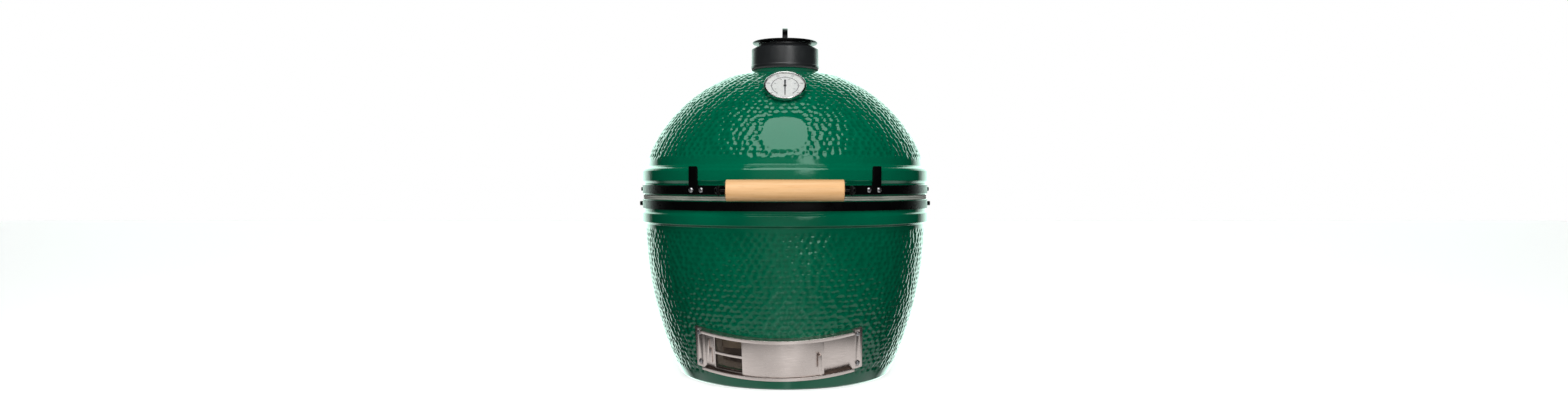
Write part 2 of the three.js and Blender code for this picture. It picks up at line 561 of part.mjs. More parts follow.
// The dial's +Y runs up the dome, so a blade along -Y points to the bottom of the scale.
add('needle', join(needleHub, needleBlade), dialBlack, thermometer);
add('thermometer_stem', turned([[0, -STEM.length], [2, -STEM.length], [STEM.radius, -STEM.length + 5],
  [STEM.radius, -6.9], [0, -6.9]], 12), stainless, thermometer);
add('thermometer_nut', ring(STEM.radius + 1, 11, -50.5, -43.5, 6), zincSteel, thermometer);

// ---------------------------------------------------------------- draft door

const R0 = DRAFT.radius;
const LAYER = {                // radii of the sheets, from the ceramic outwards
  plate: [R0, R0 + 1.6], mesh: [R0 + 2.3, R0 + 2.9], screen: [R0 + 3.2, R0 + 4.4], grip: R0 + 7,
  solid: [R0 + 7.8, R0 + 9.2], lip: [R0 + 10, R0 + 11.4], tab: R0 + 19,
};
const RAIL = { from: -30.7, to: 30.2, wall: 2.7, lip: 7.7 };
const PANEL_HALF = DRAFT.half - RAIL.wall - 0.8;
const sheet = ([inner, outer], from, to, h0, h1, steps) => sector(inner, outer, from, to, h0, h1, steps);

/** One channel that the panels slide in: a wall standing on the plate and a lip turned back over them. */
function rail(level) {
  const edge = level * DRAFT.half;
  const span = (depth) => [edge, edge - level * depth].sort((a, b) => a - b);
  return join(
    sheet([R0 + 1, LAYER.lip[1]], RAIL.from, RAIL.to, ...span(RAIL.wall), 12),
    sheet(LAYER.lip, RAIL.from, RAIL.to, ...span(RAIL.lip), 12));
}

/** The skirt that closes the space between the plate and the curved wall of the base. */
function skirt() {
  const depth = R0 - 16;
  const { span, half: height } = DRAFT;
  const walls = [
    sheet([depth, R0 + 1], -span, span, height - 1.6, height, 12),
    sheet([depth, R0 + 1], -span, span, -height, 1.6 - height, 12),
    sheet([depth, R0 + 1], -span, 0.35 - span, -height, height, 1),
    sheet([depth, R0 + 1], span - 0.35, span, -height, height, 1),
  ];
  const grown = baseOuter.map(([r, z]) => [r === 0 ? 0 : r + GAP, z]);
  const wallSolid = inDraft(turned([...grown, [0, BASE_RIM_Z]]));
  return cut(join(...walls), wallSolid);
}

const airWindow = sheet(
  [R0 - 5, R0 + 5], OPENING.from - 1, OPENING.to + 1, -OPENING.half - 2, OPENING.half + 2, 6);
const frameHoles = screwSpots.map(({ azimuth, height }) =>
  aimed(rod(FRAME_SCREWS.hole, R0 - 10, R0 + 10), [0, 0, height], radialOut(azimuth)));
add('draft_frame', join(
  cut(sheet(LAYER.plate, -DRAFT.span, DRAFT.span, -DRAFT.half, DRAFT.half, 14), airWindow, ...frameHoles),
  rail(1), rail(-1), skirt()), stainless, draftAxis);

const SOLID_DOOR = { from: -13.4, to: 17.8 };
const SCREEN = { from: -29.6, to: 2.4, left: -25, right: -1.2, low: 3.4, high: 38.5 };
const tab = sheet([LAYER.solid[0] + 0.5, LAYER.tab], 16.1, 16.4, -27, 13, 1);
add('solid_door', join(
  sheet(LAYER.solid, SOLID_DOOR.from, SOLID_DOOR.to, -PANEL_HALF, PANEL_HALF, 8), tab), stainless, draftAxis);

const screenWindows = [-1, 1].map((level) => {
  const [h0, h1] = [level * SCREEN.low, level * SCREEN.high].sort((a, b) => a - b);
  return sheet([R0, R0 + 9], SCREEN.left, SCREEN.right, h0, h1, 6);
});
const fingerGrip = join(
  sheet([LAYER.screen[0] + 0.3, LAYER.grip], -28.4, -27.4, -10, 30, 1),
  sheet([LAYER.screen[0] + 0.3, LAYER.grip], -27.5, -26.4, -28, 8, 1));
add('screen_door', join(
  cut(sheet(LAYER.screen, SCREEN.from, SCREEN.to, -PANEL_HALF, PANEL_HALF, 8), ...screenWindows), fingerGrip),
stainless, draftAxis);
add('screen_mesh', sheet(LAYER.mesh, SCREEN.left - 1.5, SCREEN.right + 1.5, -SCREEN.high - 2, SCREEN.high + 2, 6),
  stainless, draftAxis);

for (const { side, level, azimuth, height } of screwSpots) {
  const name = `frame_screw_${side < 0 ? 'left' : 'right'}_${level < 0 ? 'low' : 'high'}`;
  const bearing = LAYER.plate[1] + GAP;
  const screw = bolt(5.2, 2.8, FRAME_SCREWS.shank, bearing - R0 + FRAME_SCREWS.depth);
  const [x, y] = polar(bearing, azimuth);
  addAt(name, screw, zincSteel, aim([x, y, height], radialOut(azimuth)), draftAxis);
}

export default grill;
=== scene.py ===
import json
import math

import bmesh
import bpy
import numpy as np
from mathutils import Matrix, Vector

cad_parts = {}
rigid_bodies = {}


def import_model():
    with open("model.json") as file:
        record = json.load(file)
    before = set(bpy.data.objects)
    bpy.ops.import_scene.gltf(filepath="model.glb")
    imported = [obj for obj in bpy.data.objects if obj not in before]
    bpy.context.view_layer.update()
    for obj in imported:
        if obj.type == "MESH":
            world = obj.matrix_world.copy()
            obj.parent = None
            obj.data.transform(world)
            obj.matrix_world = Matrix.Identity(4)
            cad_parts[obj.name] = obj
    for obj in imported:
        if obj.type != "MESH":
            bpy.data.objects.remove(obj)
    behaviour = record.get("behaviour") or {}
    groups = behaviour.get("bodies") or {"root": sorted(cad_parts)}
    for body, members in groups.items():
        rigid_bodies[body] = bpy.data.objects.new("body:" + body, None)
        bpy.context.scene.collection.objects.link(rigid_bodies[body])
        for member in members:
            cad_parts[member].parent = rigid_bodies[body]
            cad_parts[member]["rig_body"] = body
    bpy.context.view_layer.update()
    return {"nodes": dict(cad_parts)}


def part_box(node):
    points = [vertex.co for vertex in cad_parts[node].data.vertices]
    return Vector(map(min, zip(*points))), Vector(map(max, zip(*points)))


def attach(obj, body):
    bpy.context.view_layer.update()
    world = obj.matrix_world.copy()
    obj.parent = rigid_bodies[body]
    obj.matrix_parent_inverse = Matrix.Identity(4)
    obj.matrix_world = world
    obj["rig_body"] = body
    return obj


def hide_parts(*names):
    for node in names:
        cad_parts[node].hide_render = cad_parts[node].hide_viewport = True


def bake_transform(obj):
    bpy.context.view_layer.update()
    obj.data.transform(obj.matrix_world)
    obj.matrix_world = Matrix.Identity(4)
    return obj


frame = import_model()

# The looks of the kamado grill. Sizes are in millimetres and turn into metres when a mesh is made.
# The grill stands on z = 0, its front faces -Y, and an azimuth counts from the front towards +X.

MM = 0.001


def top_of(node):
    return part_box(node)[1] / MM


def low_of(node):
    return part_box(node)[0] / MM


# ------------------------------------------------------------------ driving dimensions

BASE_RIM, DOME_RIM = top_of("base").z, low_of("dome").z
LEDGE = top_of("base").x                     # radius of the ledges above and below the bands
GROOVE = LEDGE - 6                           # seat of the steel bands
RIM_BORE = 312
FOOT = 250
WALL = 24
FLOOR_TOP = 30
NECK = {"outer": 73.5, "bore": 56, "top": top_of("dome").z}
BAND_LOW, BAND_HIGH = low_of("lower_band").z, low_of("upper_band").z
BAND_HEIGHT = 20
BAND = (GROOVE + 0.4, GROOVE + 3)
STRAP = (GROOVE + 3.4, GROOVE + 8.4)
HINGE_Y, HINGE_Z = 398, 430
HANDLE_Y, HANDLE_Z, HANDLE_RADIUS, HANDLE_HALF = -395, 444.5, 22.5, 122.3
DIAL_Y, DIAL_Z, DIAL_RADIUS = -233, 679, 47
PIVOT_Y = 74
DRAFT = {"turn": -3.4, "tilt": 21, "radius": 325, "reach": 287.4, "z": 75.2, "half": 50.3, "span": 34.7}


def rad(degrees):
    return degrees * math.pi / 180


def polar(radius, azimuth):
    return radius * math.sin(rad(azimuth)), -radius * math.cos(rad(azimuth))


def base_radius(z):
    return 341.6 - 87.8 * (1 - z / 446.7) ** 2.54


def dome_radius(z):
    return 333.6 * (1 - ((z - 510.2) / 227.9) ** 1.378) ** (1 / 2.236)


# ------------------------------------------------------------------ meshes

def shape(points, faces):
    """An object from points in millimetres, with its faces turned outwards."""
    data = bpy.data.meshes.new("shape")
    data.from_pydata([Vector(p) * MM for p in points], [], faces)
    obj = bpy.data.objects.new("shape", data)
    bpy.context.scene.collection.objects.link(obj)
    outward(obj)
    return obj


def outward(obj):
    bm = bmesh.new()
    bm.from_mesh(obj.data)
    bmesh.ops.recalc_face_normals(bm, faces=bm.faces)
    bm.to_mesh(obj.data)
    bm.free()


def placed(obj, matrix):
    """Moves the mesh itself by a matrix whose shift is in millimetres."""
    metres = matrix.copy()
    metres.translation = matrix.translation * MM
    obj.data.transform(metres)
    if metres.determinant() < 0:
        obj.data.flip_normals()
    return obj


def modified(obj, kind, **settings):
    """Applies one modifier to an object's mesh."""
    modifier = obj.modifiers.new(kind, kind)
    for name, value in settings.items():
        setattr(modifier, name, value)
    result = bpy.data.meshes.new_from_object(obj.evaluated_get(bpy.context.evaluated_depsgraph_get()))
    obj.modifiers.clear()
    obj.data = result
    return obj


def combined(obj, tools, operation):
    for tool in tools:
        modified(obj, "BOOLEAN", object=tool, operation=operation, solver="EXACT")
        bpy.data.objects.remove(tool)
    return obj


def cut(obj, *tools):
    return combined(obj, tools, "DIFFERENCE")


def fused(obj, *tools):
    return combined(obj, tools, "UNION")


def together(*objs):
    """One object that holds the meshes of several, side by side."""
    bm = bmesh.new()
    for obj in objs:
        bm.from_mesh(obj.data)
    data = bpy.data.meshes.new("shape")
    bm.to_mesh(data)
    bm.free()
    objs[0].data = data
    for obj in objs[1:]:
        bpy.data.objects.remove(obj)
    return objs[0]


def eased(obj, width=0.5, segments=2, angle=35):
    """Rounds the hard edges."""
    return modified(obj, "BEVEL", width=width * MM, segments=segments, limit_method="ANGLE",
                    angle_limit=rad(angle), harden_normals=False)


def rounded(points, steps=4):
    """A profile whose corners given as (r, z, radius) are rounded by that radius."""
    done = []
    for i, point in enumerate(points):
        if len(point) == 2 or i in (0, len(points) - 1):
            done.append(tuple(point[:2]))
            continue
        here = np.array(point[:2], float)
        before = np.array(points[i - 1][:2], float) - here
        after = np.array(points[i + 1][:2], float) - here
        before_length, after_length = np.linalg.norm(before), np.linalg.norm(after)
        before, after = before / before_length, after / after_length
        turn = math.pi - math.acos(max(-1, min(1, float(before @ after))))
        reach = min(point[2] * math.tan(turn / 2), 0.49 * before_length, 0.49 * after_length)
        for k in range(steps + 1):
            t = k / steps
            done.append(tuple(here + before * reach * (1 - t) ** 2 + after * reach * t ** 2))
    return done


def lathe(stations, segments=128, loop=False):
    """Turns a profile of (r, z) or (r, z, segments) stations about Z. From one station to the next the
    number of segments may stay, double or halve. Returns the points, the faces and each face's station."""
    points, rings = [], []
    for station in stations:
        r, z = station[:2]
        count = 1 if r == 0 else (station[2] if len(station) > 2 else segments)
        start = len(points)
        angles = np.arange(count) * 2 * math.pi / count
        points += [(r * math.sin(a), -r * math.cos(a), z) for a in angles]
        rings.append((start, count))
    faces, owner = [], []
    pairs = list(zip(rings, rings[1:]))
    if loop:
        pairs.append((rings[-1], rings[0]))
    for index, ((a, m), (b, n)) in enumerate(pairs):
        for k in range(min(m, n) if min(m, n) > 1 else max(m, n)):
            if m == n:
                face = [a + k, a + (k + 1) % m, b + (k + 1) % n, b + k]
            elif m == 1:
                face = [a, b + (k + 1) % n, b + k]
            elif n == 1:
                face = [a + k, a + (k + 1) % m, b]
            elif m == 2 * n:
                face = [a + 2 * k, a + 2 * k + 1, a + (2 * k + 2) % m, b + (k + 1) % n, b + k]
            else:
                face = [a + k, a + (k + 1) % m, b + (2 * k + 2) % n, b + 2 * k + 1, b + 2 * k]
            faces.append(face)
            owner.append(index)
    return points, faces, owner


def turned(profile, segments=128, matrix=None):
    """A turned body. Its profile is closed on itself unless it starts and ends on the axis."""
    loop = not (profile[0][0] == 0 and profile[-1][0] == 0)
    points, faces, _ = lathe(profile, segments, loop)
    obj = shape(points, faces)
    return placed(obj, matrix) if matrix else obj


def ring(inner, outer, z0, z1, edge=0.6, segments=128):
    """A ring of rectangular section with rounded edges."""
    middle = (inner + outer) / 2
    return turned(rounded([
        (middle, z0), (outer, z0, edge), (outer, z1, edge), (inner, z1, edge), (inner, z0, edge),
        (middle - 0.01, z0)]), segments)


def prism(outline, z0, z1, matrix=None):
    """An outline of (x, y) points raised from z0 to z1."""
    n = len(outline)
    points = [(x, y, z0) for x, y in outline] + [(x, y, z1) for x, y in outline]
    faces = [list(range(n))[::-1], list(range(n, 2 * n))]
    faces += [[i, (i + 1) % n, n + (i + 1) % n, n + i] for i in range(n)]
    obj = shape(points, faces)
    return placed(obj, matrix) if matrix else obj


UPRIGHT = Matrix(((0, 0, 1, 0), (1, 0, 0, 0), (0, 1, 0, 0), (0, 0, 0, 1)))


def side_plate(outline, x0, x1):
    """An outline of (y, z) points carried along X."""
    return prism(outline, x0, x1, UPRIGHT)


def sector(inner, outer, start, end, h0, h1, steps=24, levels=1):
    """A curved plate between two radii, two azimuths and two heights, in an even grid."""
    points, faces = [], []
    columns = np.linspace(start, end, steps + 1)
    heights = np.linspace(h0, h1, levels + 1)
    for radius in (inner, outer):
        for azimuth in columns:
            x, y = polar(radius, azimuth)
            points += [(x, y, h) for h in heights]
    rows, sheet = levels + 1, (steps + 1) * (levels + 1)
    at = lambda side, i, j: side * sheet + i * rows + j
    for i in range(steps):
        for j in range(levels):
            for side in (0, 1):
                faces.append([at(side, i, j), at(side, i + 1, j), at(side, i + 1, j + 1), at(side, i, j + 1)])
        for j in (0, levels):
            faces.append([at(0, i, j), at(0, i + 1, j), at(1, i + 1, j), at(1, i, j)])
    for j in range(levels):
        for i in (0, steps):
            faces.append([at(0, i, j), at(0, i, j + 1), at(1, i, j + 1), at(1, i, j)])
    return shape(points, faces)


def tube(path, radius, sides=10):
    """A round wire along points, with flat ends."""
    path = [Vector(p) for p in path]
    points, faces = [], []
    side = None
    for i, p in enumerate(path):
        along = (path[min(i + 1, len(path) - 1)] - path[max(i - 1, 0)]).normalized()
        if side is None:
            side = along.orthogonal().normalized()
        side = (side - along * side.dot(along)).normalized()
        other = along.cross(side)
        for k in range(sides):
            a = 2 * math.pi * k / sides
            points.append(p + (side * math.cos(a) + other * math.sin(a)) * radius)
    for i in range(len(path) - 1):
        for k in range(sides):
            a, b = i * sides, (i + 1) * sides
            faces.append([a + k, a + (k + 1) % sides, b + (k + 1) % sides, b + k])
    faces.append(list(range(sides)))
    faces.append([(len(path) - 1) * sides + k for k in range(sides)])
    return shape(points, faces)


def rod(radius, z0, z1, edge=0.5, segments=48, matrix=None):
    profile = rounded([(0, z0), (radius, z0, edge), (radius, z1, edge), (0, z1)], 3)
    return turned(profile, segments, matrix)


def block(x0, x1, y0, y1, z0, z1):
    return prism([(x0, y0), (x1, y0), (x1, y1), (x0, y1)], z0, z1)


def shift(x=0, y=0, z=0):
    return Matrix.Translation((x, y, z))


def aim(point, direction):
    """The turn and shift that carry +Z to a direction and the origin to a point."""
    turn = Vector((0, 0, 1)).rotation_difference(Vector(direction).normalized())
    return Matrix.Translation(point) @ turn.to_matrix().to_4x4()


def radial(radius, azimuth, z):
    return aim((*polar(radius, azimuth), z), (*polar(1, azimuth), 0))


# ------------------------------------------------------------------ materials

class Finish:
    """A Principled material and the nodes that feed it, with coordinates fixed to the piece in metres."""

    def __init__(self, name, colour, roughness, metallic=0.0, **sockets):
        self.material = bpy.data.materials.new(name)
        self.material.use_nodes = True
        self.tree = self.material.node_tree
        self.shader = self.tree.nodes["Principled BSDF"]
        self.shader.inputs["Base Color"].default_value = (*colour, 1)
        self.shader.inputs["Roughness"].default_value = roughness
        self.shader.inputs["Metallic"].default_value = metallic
        for socket, value in sockets.items():
            self.shader.inputs[socket.replace("_", " ")].default_value = value
        self.place = self.tree.nodes.new("ShaderNodeTexCoord").outputs["Object"]

    def link(self, output, socket):
        self.tree.links.new(output, socket)

    def noise(self, size, detail=3.0, roughness=0.55, stretch=(1, 1, 1)):
        """Noise whose features are about size metres; stretch makes them longer along an axis."""
        mapping = self.tree.nodes.new("ShaderNodeMapping")
        mapping.inputs["Scale"].default_value = [1 / s for s in stretch]
        self.link(self.place, mapping.inputs["Vector"])
        node = self.tree.nodes.new("ShaderNodeTexNoise")
        node.inputs["Scale"].default_value = 1 / size
        node.inputs["Detail"].default_value = detail
        node.inputs["Roughness"].default_value = roughness
        self.link(mapping.outputs[0], node.inputs["Vector"])
        return node.outputs["Fac"]

    def attribute(self, name):
        node = self.tree.nodes.new("ShaderNodeAttribute")
        node.attribute_name = name
        return node.outputs["Fac"]

    def scaled(self, factor, low, high, start=0.3, end=0.7):
        """A factor mapped from start..end to low..high."""
        node = self.tree.nodes.new("ShaderNodeMapRange")
        for socket, value in zip(("From Min", "From Max", "To Min", "To Max"), (start, end, low, high)):
            node.inputs[socket].default_value = value
        self.link(factor, node.inputs["Value"])
        return node.outputs[0]

    def mixed(self, factor, first, second):
        """A colour between two; each is a colour or the output of another mix."""
        node = self.tree.nodes.new("ShaderNodeMix")
        node.data_type = "RGBA"
        self.link(factor, node.inputs["Factor"])
        for socket, value in (("A", first), ("B", second)):
            target = next(s for s in node.inputs if s.name == socket and s.type == "RGBA")
            if isinstance(value, tuple):
                target.default_value = (*value, 1)
            else:
                self.link(value, target)
        return next(s for s in node.outputs if s.type == "RGBA")

    def colour(self, output):
        self.link(output, self.shader.inputs["Base Color"])

    def rough(self, output):
        self.link(output, self.shader.inputs["Roughness"])

    def bump(self, *layers):
        """Fine relief from (height, depth in metres) layers."""
        normal = None
        for height, depth in layers:
            node = self.tree.nodes.new("ShaderNodeBump")
            node.inputs["Strength"].default_value = 1
            node.inputs["Distance"].default_value = depth
            self.link(height, node.inputs["Height"])
            if normal:
                self.link(normal, node.inputs["Normal"])
            normal = node.outputs[0]
        self.link(normal, self.shader.inputs["Normal"])


def glaze():
    """Glossy green glaze: it pools darker in the dimples and thins over the ridges."""
    f = Finish("green_glaze", (0.0, 0.1, 0.045), 0.08, IOR=1.51, Specular_Tint=(0.7, 1.0, 0.87, 1.0))
    cloud = f.scaled(f.noise(0.09, 4), 0, 1)
    green = f.mixed(cloud, (0.0, 0.116, 0.056), (0.0, 0.132, 0.064))
    pool = f.scaled(f.attribute("relief"), 0.55, 0, -1, 0)
    f.colour(f.mixed(pool, green, (0.0, 0.07, 0.032)))
    f.rough(f.scaled(f.noise(0.02, 3), 0.04, 0.08))
    f.bump((f.noise(0.022, 2), 0.0003), (f.noise(0.004, 2), 0.00006))
    return f.material


def clay(name, light, dark, grain):
    f = Finish(name, light, 0.92)
    blotch = f.scaled(f.noise(0.05, 5, 0.65), 0, 1)
    speck = f.scaled(f.noise(0.0035, 2), 0, 0.6, 0.55, 0.75)
    body = f.mixed(blotch, light, dark)
    f.colour(f.mixed(speck, body, tuple(c * 0.55 for c in dark)))
    f.rough(f.scaled(f.noise(0.01), 0.82, 0.98))
    f.bump((f.noise(0.006, 5, 0.7), grain), (f.noise(0.0015, 2), grain * 0.4))
    return f.material


def steel(name, colour, roughness, stretch, dark=0.8, warm=None, line=0.0009):
    """Bare metal with fine brushed lines along the stretched axis."""
    f = Finish(name, colour, roughness, 1.0)
    lines = f.noise(line, 4, 0.6, stretch)
    cloud = f.scaled(f.noise(0.03, 3), 0, 1)
    second = warm or tuple(c * dark for c in colour)
    body = f.mixed(cloud, colour, second)
    f.colour(f.mixed(f.scaled(lines, 0, 0.45), body, tuple(c * 0.72 for c in colour)))
    f.rough(f.scaled(lines, roughness * 0.8, roughness * 1.25))
    f.bump((lines, 0.00002))
    return f.material


def coated(name, colour, roughness, pebble=0.0012, depth=0.00006, worn=0.5, **sockets):
    """Powder coat or enamel on metal: an even pebbled skin with faint dust and rubbed patches."""
    f = Finish(name, colour, roughness, **sockets)
    cloud = f.scaled(f.noise(0.04, 4), 0, worn)
    f.colour(f.mixed(cloud, colour, tuple(c * 1.9 + 0.002 for c in colour)))
    f.rough(f.scaled(f.noise(0.012, 3), roughness * 0.85, roughness * 1.2))
    f.bump((f.noise(pebble, 2), depth))
    return f.material


def casting(name, colour, roughness, rust=None):
    f = Finish(name, colour, roughness, 0.35)
    cloud = f.scaled(f.noise(0.03, 5, 0.65), 0, 0.8)
    f.colour(f.mixed(cloud, colour, rust or tuple(c * 1.8 for c in colour)))
    f.rough(f.scaled(f.noise(0.008, 3), roughness * 0.85, min(1, roughness * 1.2)))
    f.bump((f.noise(0.0025, 4, 0.7), 0.00025))
    return f.material


def felted(name, light, dark):
    f = Finish(name, light, 1.0, Sheen_Weight=0.35, Sheen_Roughness=0.5)
    f.colour(f.mixed(f.scaled(f.noise(0.0016, 4, 0.7), 0, 1), light, dark))
    f.bump((f.noise(0.0012, 3, 0.75), 0.0004))
    return f.material


def wood():
    """Light maple with its grain along X, faint figure across it and fine pores."""
    f = Finish("maple", (0.78, 0.5, 0.25), 0.5, IOR=1.35)
    rings = f.scaled(f.noise(0.007, 3, 0.5, (22, 1, 1)), 0, 1, 0.35, 0.65)
    cloud = f.scaled(f.noise(0.05, 2, 0.5, (3, 1, 1)), 0, 0.5)
    grain = f.mixed(rings, (0.82, 0.51, 0.26), (0.72, 0.4, 0.17))
    pore = f.scaled(f.noise(0.0009, 2, 0.5, (28, 1, 1)), 0, 0.5, 0.6, 0.75)
    f.colour(f.mixed(pore, f.mixed(cloud, grain, (0.82, 0.49, 0.22)), (0.5, 0.26, 0.1)))
    f.rough(f.scaled(rings, 0.36, 0.5, 0, 1))
    f.bump((f.noise(0.0009, 3, 0.6, (28, 1, 1)), 0.00006))
    return f.material


def painted(name, colour, shade, roughness):
    f = Finish(name, colour, roughness)
    f.colour(f.mixed(f.scaled(f.noise(0.006, 3), 0, 1), colour, shade))
    f.rough(f.scaled(f.noise(0.003), roughness * 0.9, roughness * 1.15))
    return f.material


def glass():
    f = Finish("lens", (1, 1, 1), 0.03, Transmission_Weight=1.0, IOR=1.2)
    f.rough(f.scaled(f.noise(0.01, 2), 0.01, 0.05))
    return f.material


FLAT = (28, 28, 1)
SLOTS = {
    "green_glaze": glaze(),
    "fire_clay": clay("fire_clay", (0.5, 0.4, 0.28), (0.36, 0.27, 0.18), 0.0005),
    "cast_iron": casting("cast_iron", (0.028, 0.027, 0.027), 0.75, (0.06, 0.042, 0.032)),
    "stainless": steel("stainless", (0.74, 0.66, 0.62), 0.3, FLAT, warm=(0.69, 0.61, 0.57)),
    "black_steel": coated("black_steel", (0.0015, 0.0014, 0.0015), 0.3, worn=0.3, IOR=1.2),
    "cap_black": coated("cap_black", (0.013, 0.0145, 0.0155), 0.34, 0.0016, 0.00008, 0.3, IOR=1.55),
    "felt": felted("felt", (0.40, 0.43, 0.36), (0.26, 0.29, 0.24)),
    "black_felt": felted("black_felt", (0.02, 0.02, 0.021), (0.045, 0.045, 0.047)),
    "zinc": steel("zinc", (0.42, 0.42, 0.43), 0.32, (1, 1, 1), line=0.002),
    "spring_steel": steel("spring_steel", (0.09, 0.09, 0.1), 0.38, (1, 1, 1), line=0.003),
    "maple": wood(),
    "bezel": steel("bezel", (0.78, 0.77, 0.76), 0.16, (1, 1, 1), dark=0.94, line=0.0012),
    "dial_white": painted("dial_white", (0.86, 0.87, 0.85), (0.76, 0.78, 0.76), 0.5),
    "dial_black": painted("dial_black", (0.012, 0.014, 0.013), (0.03, 0.034, 0.032), 0.5),
    "lens": glass(),
}
# darker brownish steel that is painted shade: it stands for the shadow inside the door channels and on the
# spark mesh
PAINTED_SHADE_STEEL = steel("painted_shade_steel", (0.17, 0.13, 0.112), 0.5, FLAT, warm=(0.12, 0.092, 0.078))
BARE_CLAY = clay("bare_clay", (0.56, 0.5, 0.41), (0.45, 0.38, 0.3), 0.0003)


def piece(name, obj, slot, extra=None, smooth=38, body=None):
    """Names a finished mesh, dresses it and lets it ride in place of the CAD node of the same name."""
    node = frame["nodes"][name]
    obj.name = name + "_look"
    obj.data.name = obj.name
    if extra is None:
        obj.data.materials.clear()
        obj.data.materials.append(SLOTS[slot])
    obj.data.polygons.foreach_set("use_smooth", [True] * len(obj.data.polygons))
    obj.data.set_sharp_from_angle(angle=rad(smooth))
    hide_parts(name)
    if body is None:
        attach(obj, node["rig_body"])
    return obj


# ------------------------------------------------------------------ dimpled ceramic

PITCH, ROW = 17.0, 11.6           # spacing of the dimples along and across their rows
DIMPLE = (7.8, 6.4)               # half-width and half-height of a dimple
DEPTH = 2.0
FINE = 720      # segments where the ceramic is dimpled
STEP = 3.0      # height of the rings there
SMOOTH = FINE // 2


def dimple_rows(length, radius_at, seed):
    """Staggered rows of dimples: arc length, count, phase and each one's shifts and size."""
    random = np.random.RandomState(seed)
    rows = []
    for k in range(-1, int(length / ROW) + 2):
        s = k * ROW
        count = max(12, round(2 * math.pi * radius_at(s) / PITCH))
        rows.append((s, count, 0.5 * (k % 2) + 0.12 * random.rand(), 0.17 * random.randn(count),
                     1.0 * random.randn(count), 1 + 0.14 * random.randn(count)))
    return rows


def dimple_field(rows, s, radius, angles):
    """Depth from 0 on the ridges to -1 in the dimples, on one ring of angles at arc length s."""
    nearest = np.full(len(angles), 9.0)
    middle = int(round(s / ROW)) + 1
    for row in rows[max(0, middle - 1):middle + 2]:
        row_s, count, phase, across, along, size = row
        u = angles / (2 * math.pi) * count - phase
        for step in (-1, 0, 1, 2):
            i = np.floor(u).astype(int) + step
            j = i % count
            dx = (u - i - across[j]) * 2 * math.pi * radius / count
            dz = s - row_s - along[j]
            nearest = np.minimum(nearest, ((dx / DIMPLE[0]) ** 2 + (dz / DIMPLE[1]) ** 2) / size[j] ** 2)
    return np.minimum(nearest, 1) - 1


def ceramic(name, outline, start, end, weight, seed, inside_from, tools):
    """A turned ceramic body. Stations start..end of its outline carry the dimples. weight(z, x, front)
    gives how deep they are there, from 0 to 1, and how far the wall is lifted, in millimetres. The faces
    from station inside_from on are bare clay."""
    points, faces, owner = lathe(outline, loop=True)
    co = np.array(points)
    relief = np.zeros(len(co))
    reach = [0.0]
    for (r0, z0, *_), (r1, z1, *_) in zip(outline[start:end], outline[start + 1:end + 1]):
        reach.append(reach[-1] + math.hypot(r1 - r0, z1 - z0))
    radii = [p[0] for p in outline[start:end + 1]]
    rows = dimple_rows(reach[-1], lambda s: np.interp(s, reach, radii), seed)
    first = sum(1 if p[0] == 0 else p[2] for p in outline[:start])
    for k, i in enumerate(range(start, end + 1)):
        r, z, count = outline[i]
        (ra, za, *_), (rb, zb, *_) = outline[i - 1], outline[i + 1]
        length = math.hypot(rb - ra, zb - za)
        normal = (zb - za) / length, -(rb - ra) / length
        angles = np.arange(count) * 2 * math.pi / count
        ids = np.arange(first, first + count)
        depth, lift = weight(z, r * np.sin(angles), np.cos(angles) > 0)
        field = dimple_field(rows, reach[k], r, angles) * depth
        relief[ids] = field
        push = field * DEPTH + lift
        co[ids, 0] += np.sin(angles) * push * normal[0]
        co[ids, 1] -= np.cos(angles) * push * normal[0]
        co[ids, 2] += push * normal[1]
        first += count
    obj = shape(co, faces)
    obj.data.materials.append(SLOTS["green_glaze"])
    obj.data.materials.append(BARE_CLAY)
    obj.data.polygons.foreach_set("material_index", [int(i >= inside_from) for i in owner])
    obj.data.attributes.new("relief", "FLOAT", "POINT").data.foreach_set("value", relief.astype(np.float32))
    for tool in tools:
        tool.data.materials.append(SLOTS["green_glaze"])
        tool.data.materials.append(BARE_CLAY)
        tool.data.polygons.foreach_set("material_index", [1] * len(tool.data.polygons))
    return piece(name, cut(obj, *tools), "green_glaze", extra=True, smooth=50)


def fade(value, start, end):
    t = np.clip((value - start) / (end - start), 0, 1)
    return t * t * (3 - 2 * t)


def with_count(points, count):
    return [(r, z, 1 if r == 0 else count) for r, z in points]


draft_matrix = (
    Matrix.Rotation(rad(DRAFT["turn"]), 4, "Z")
    @ shift(0, DRAFT["radius"] * math.cos(rad(DRAFT["tilt"])) - DRAFT["reach"],
            DRAFT["z"] + DRAFT["radius"] * math.sin(rad(DRAFT["tilt"])))
    @ Matrix.Rotation(rad(DRAFT["tilt"]), 4, "X"))
SCREW_SPOTS = [(side, level) for side in (-1, 1) for level in (-1, 1)]
SCREW_AZIMUTH, SCREW_HEIGHT = 32.6, 37
R0 = DRAFT["radius"]


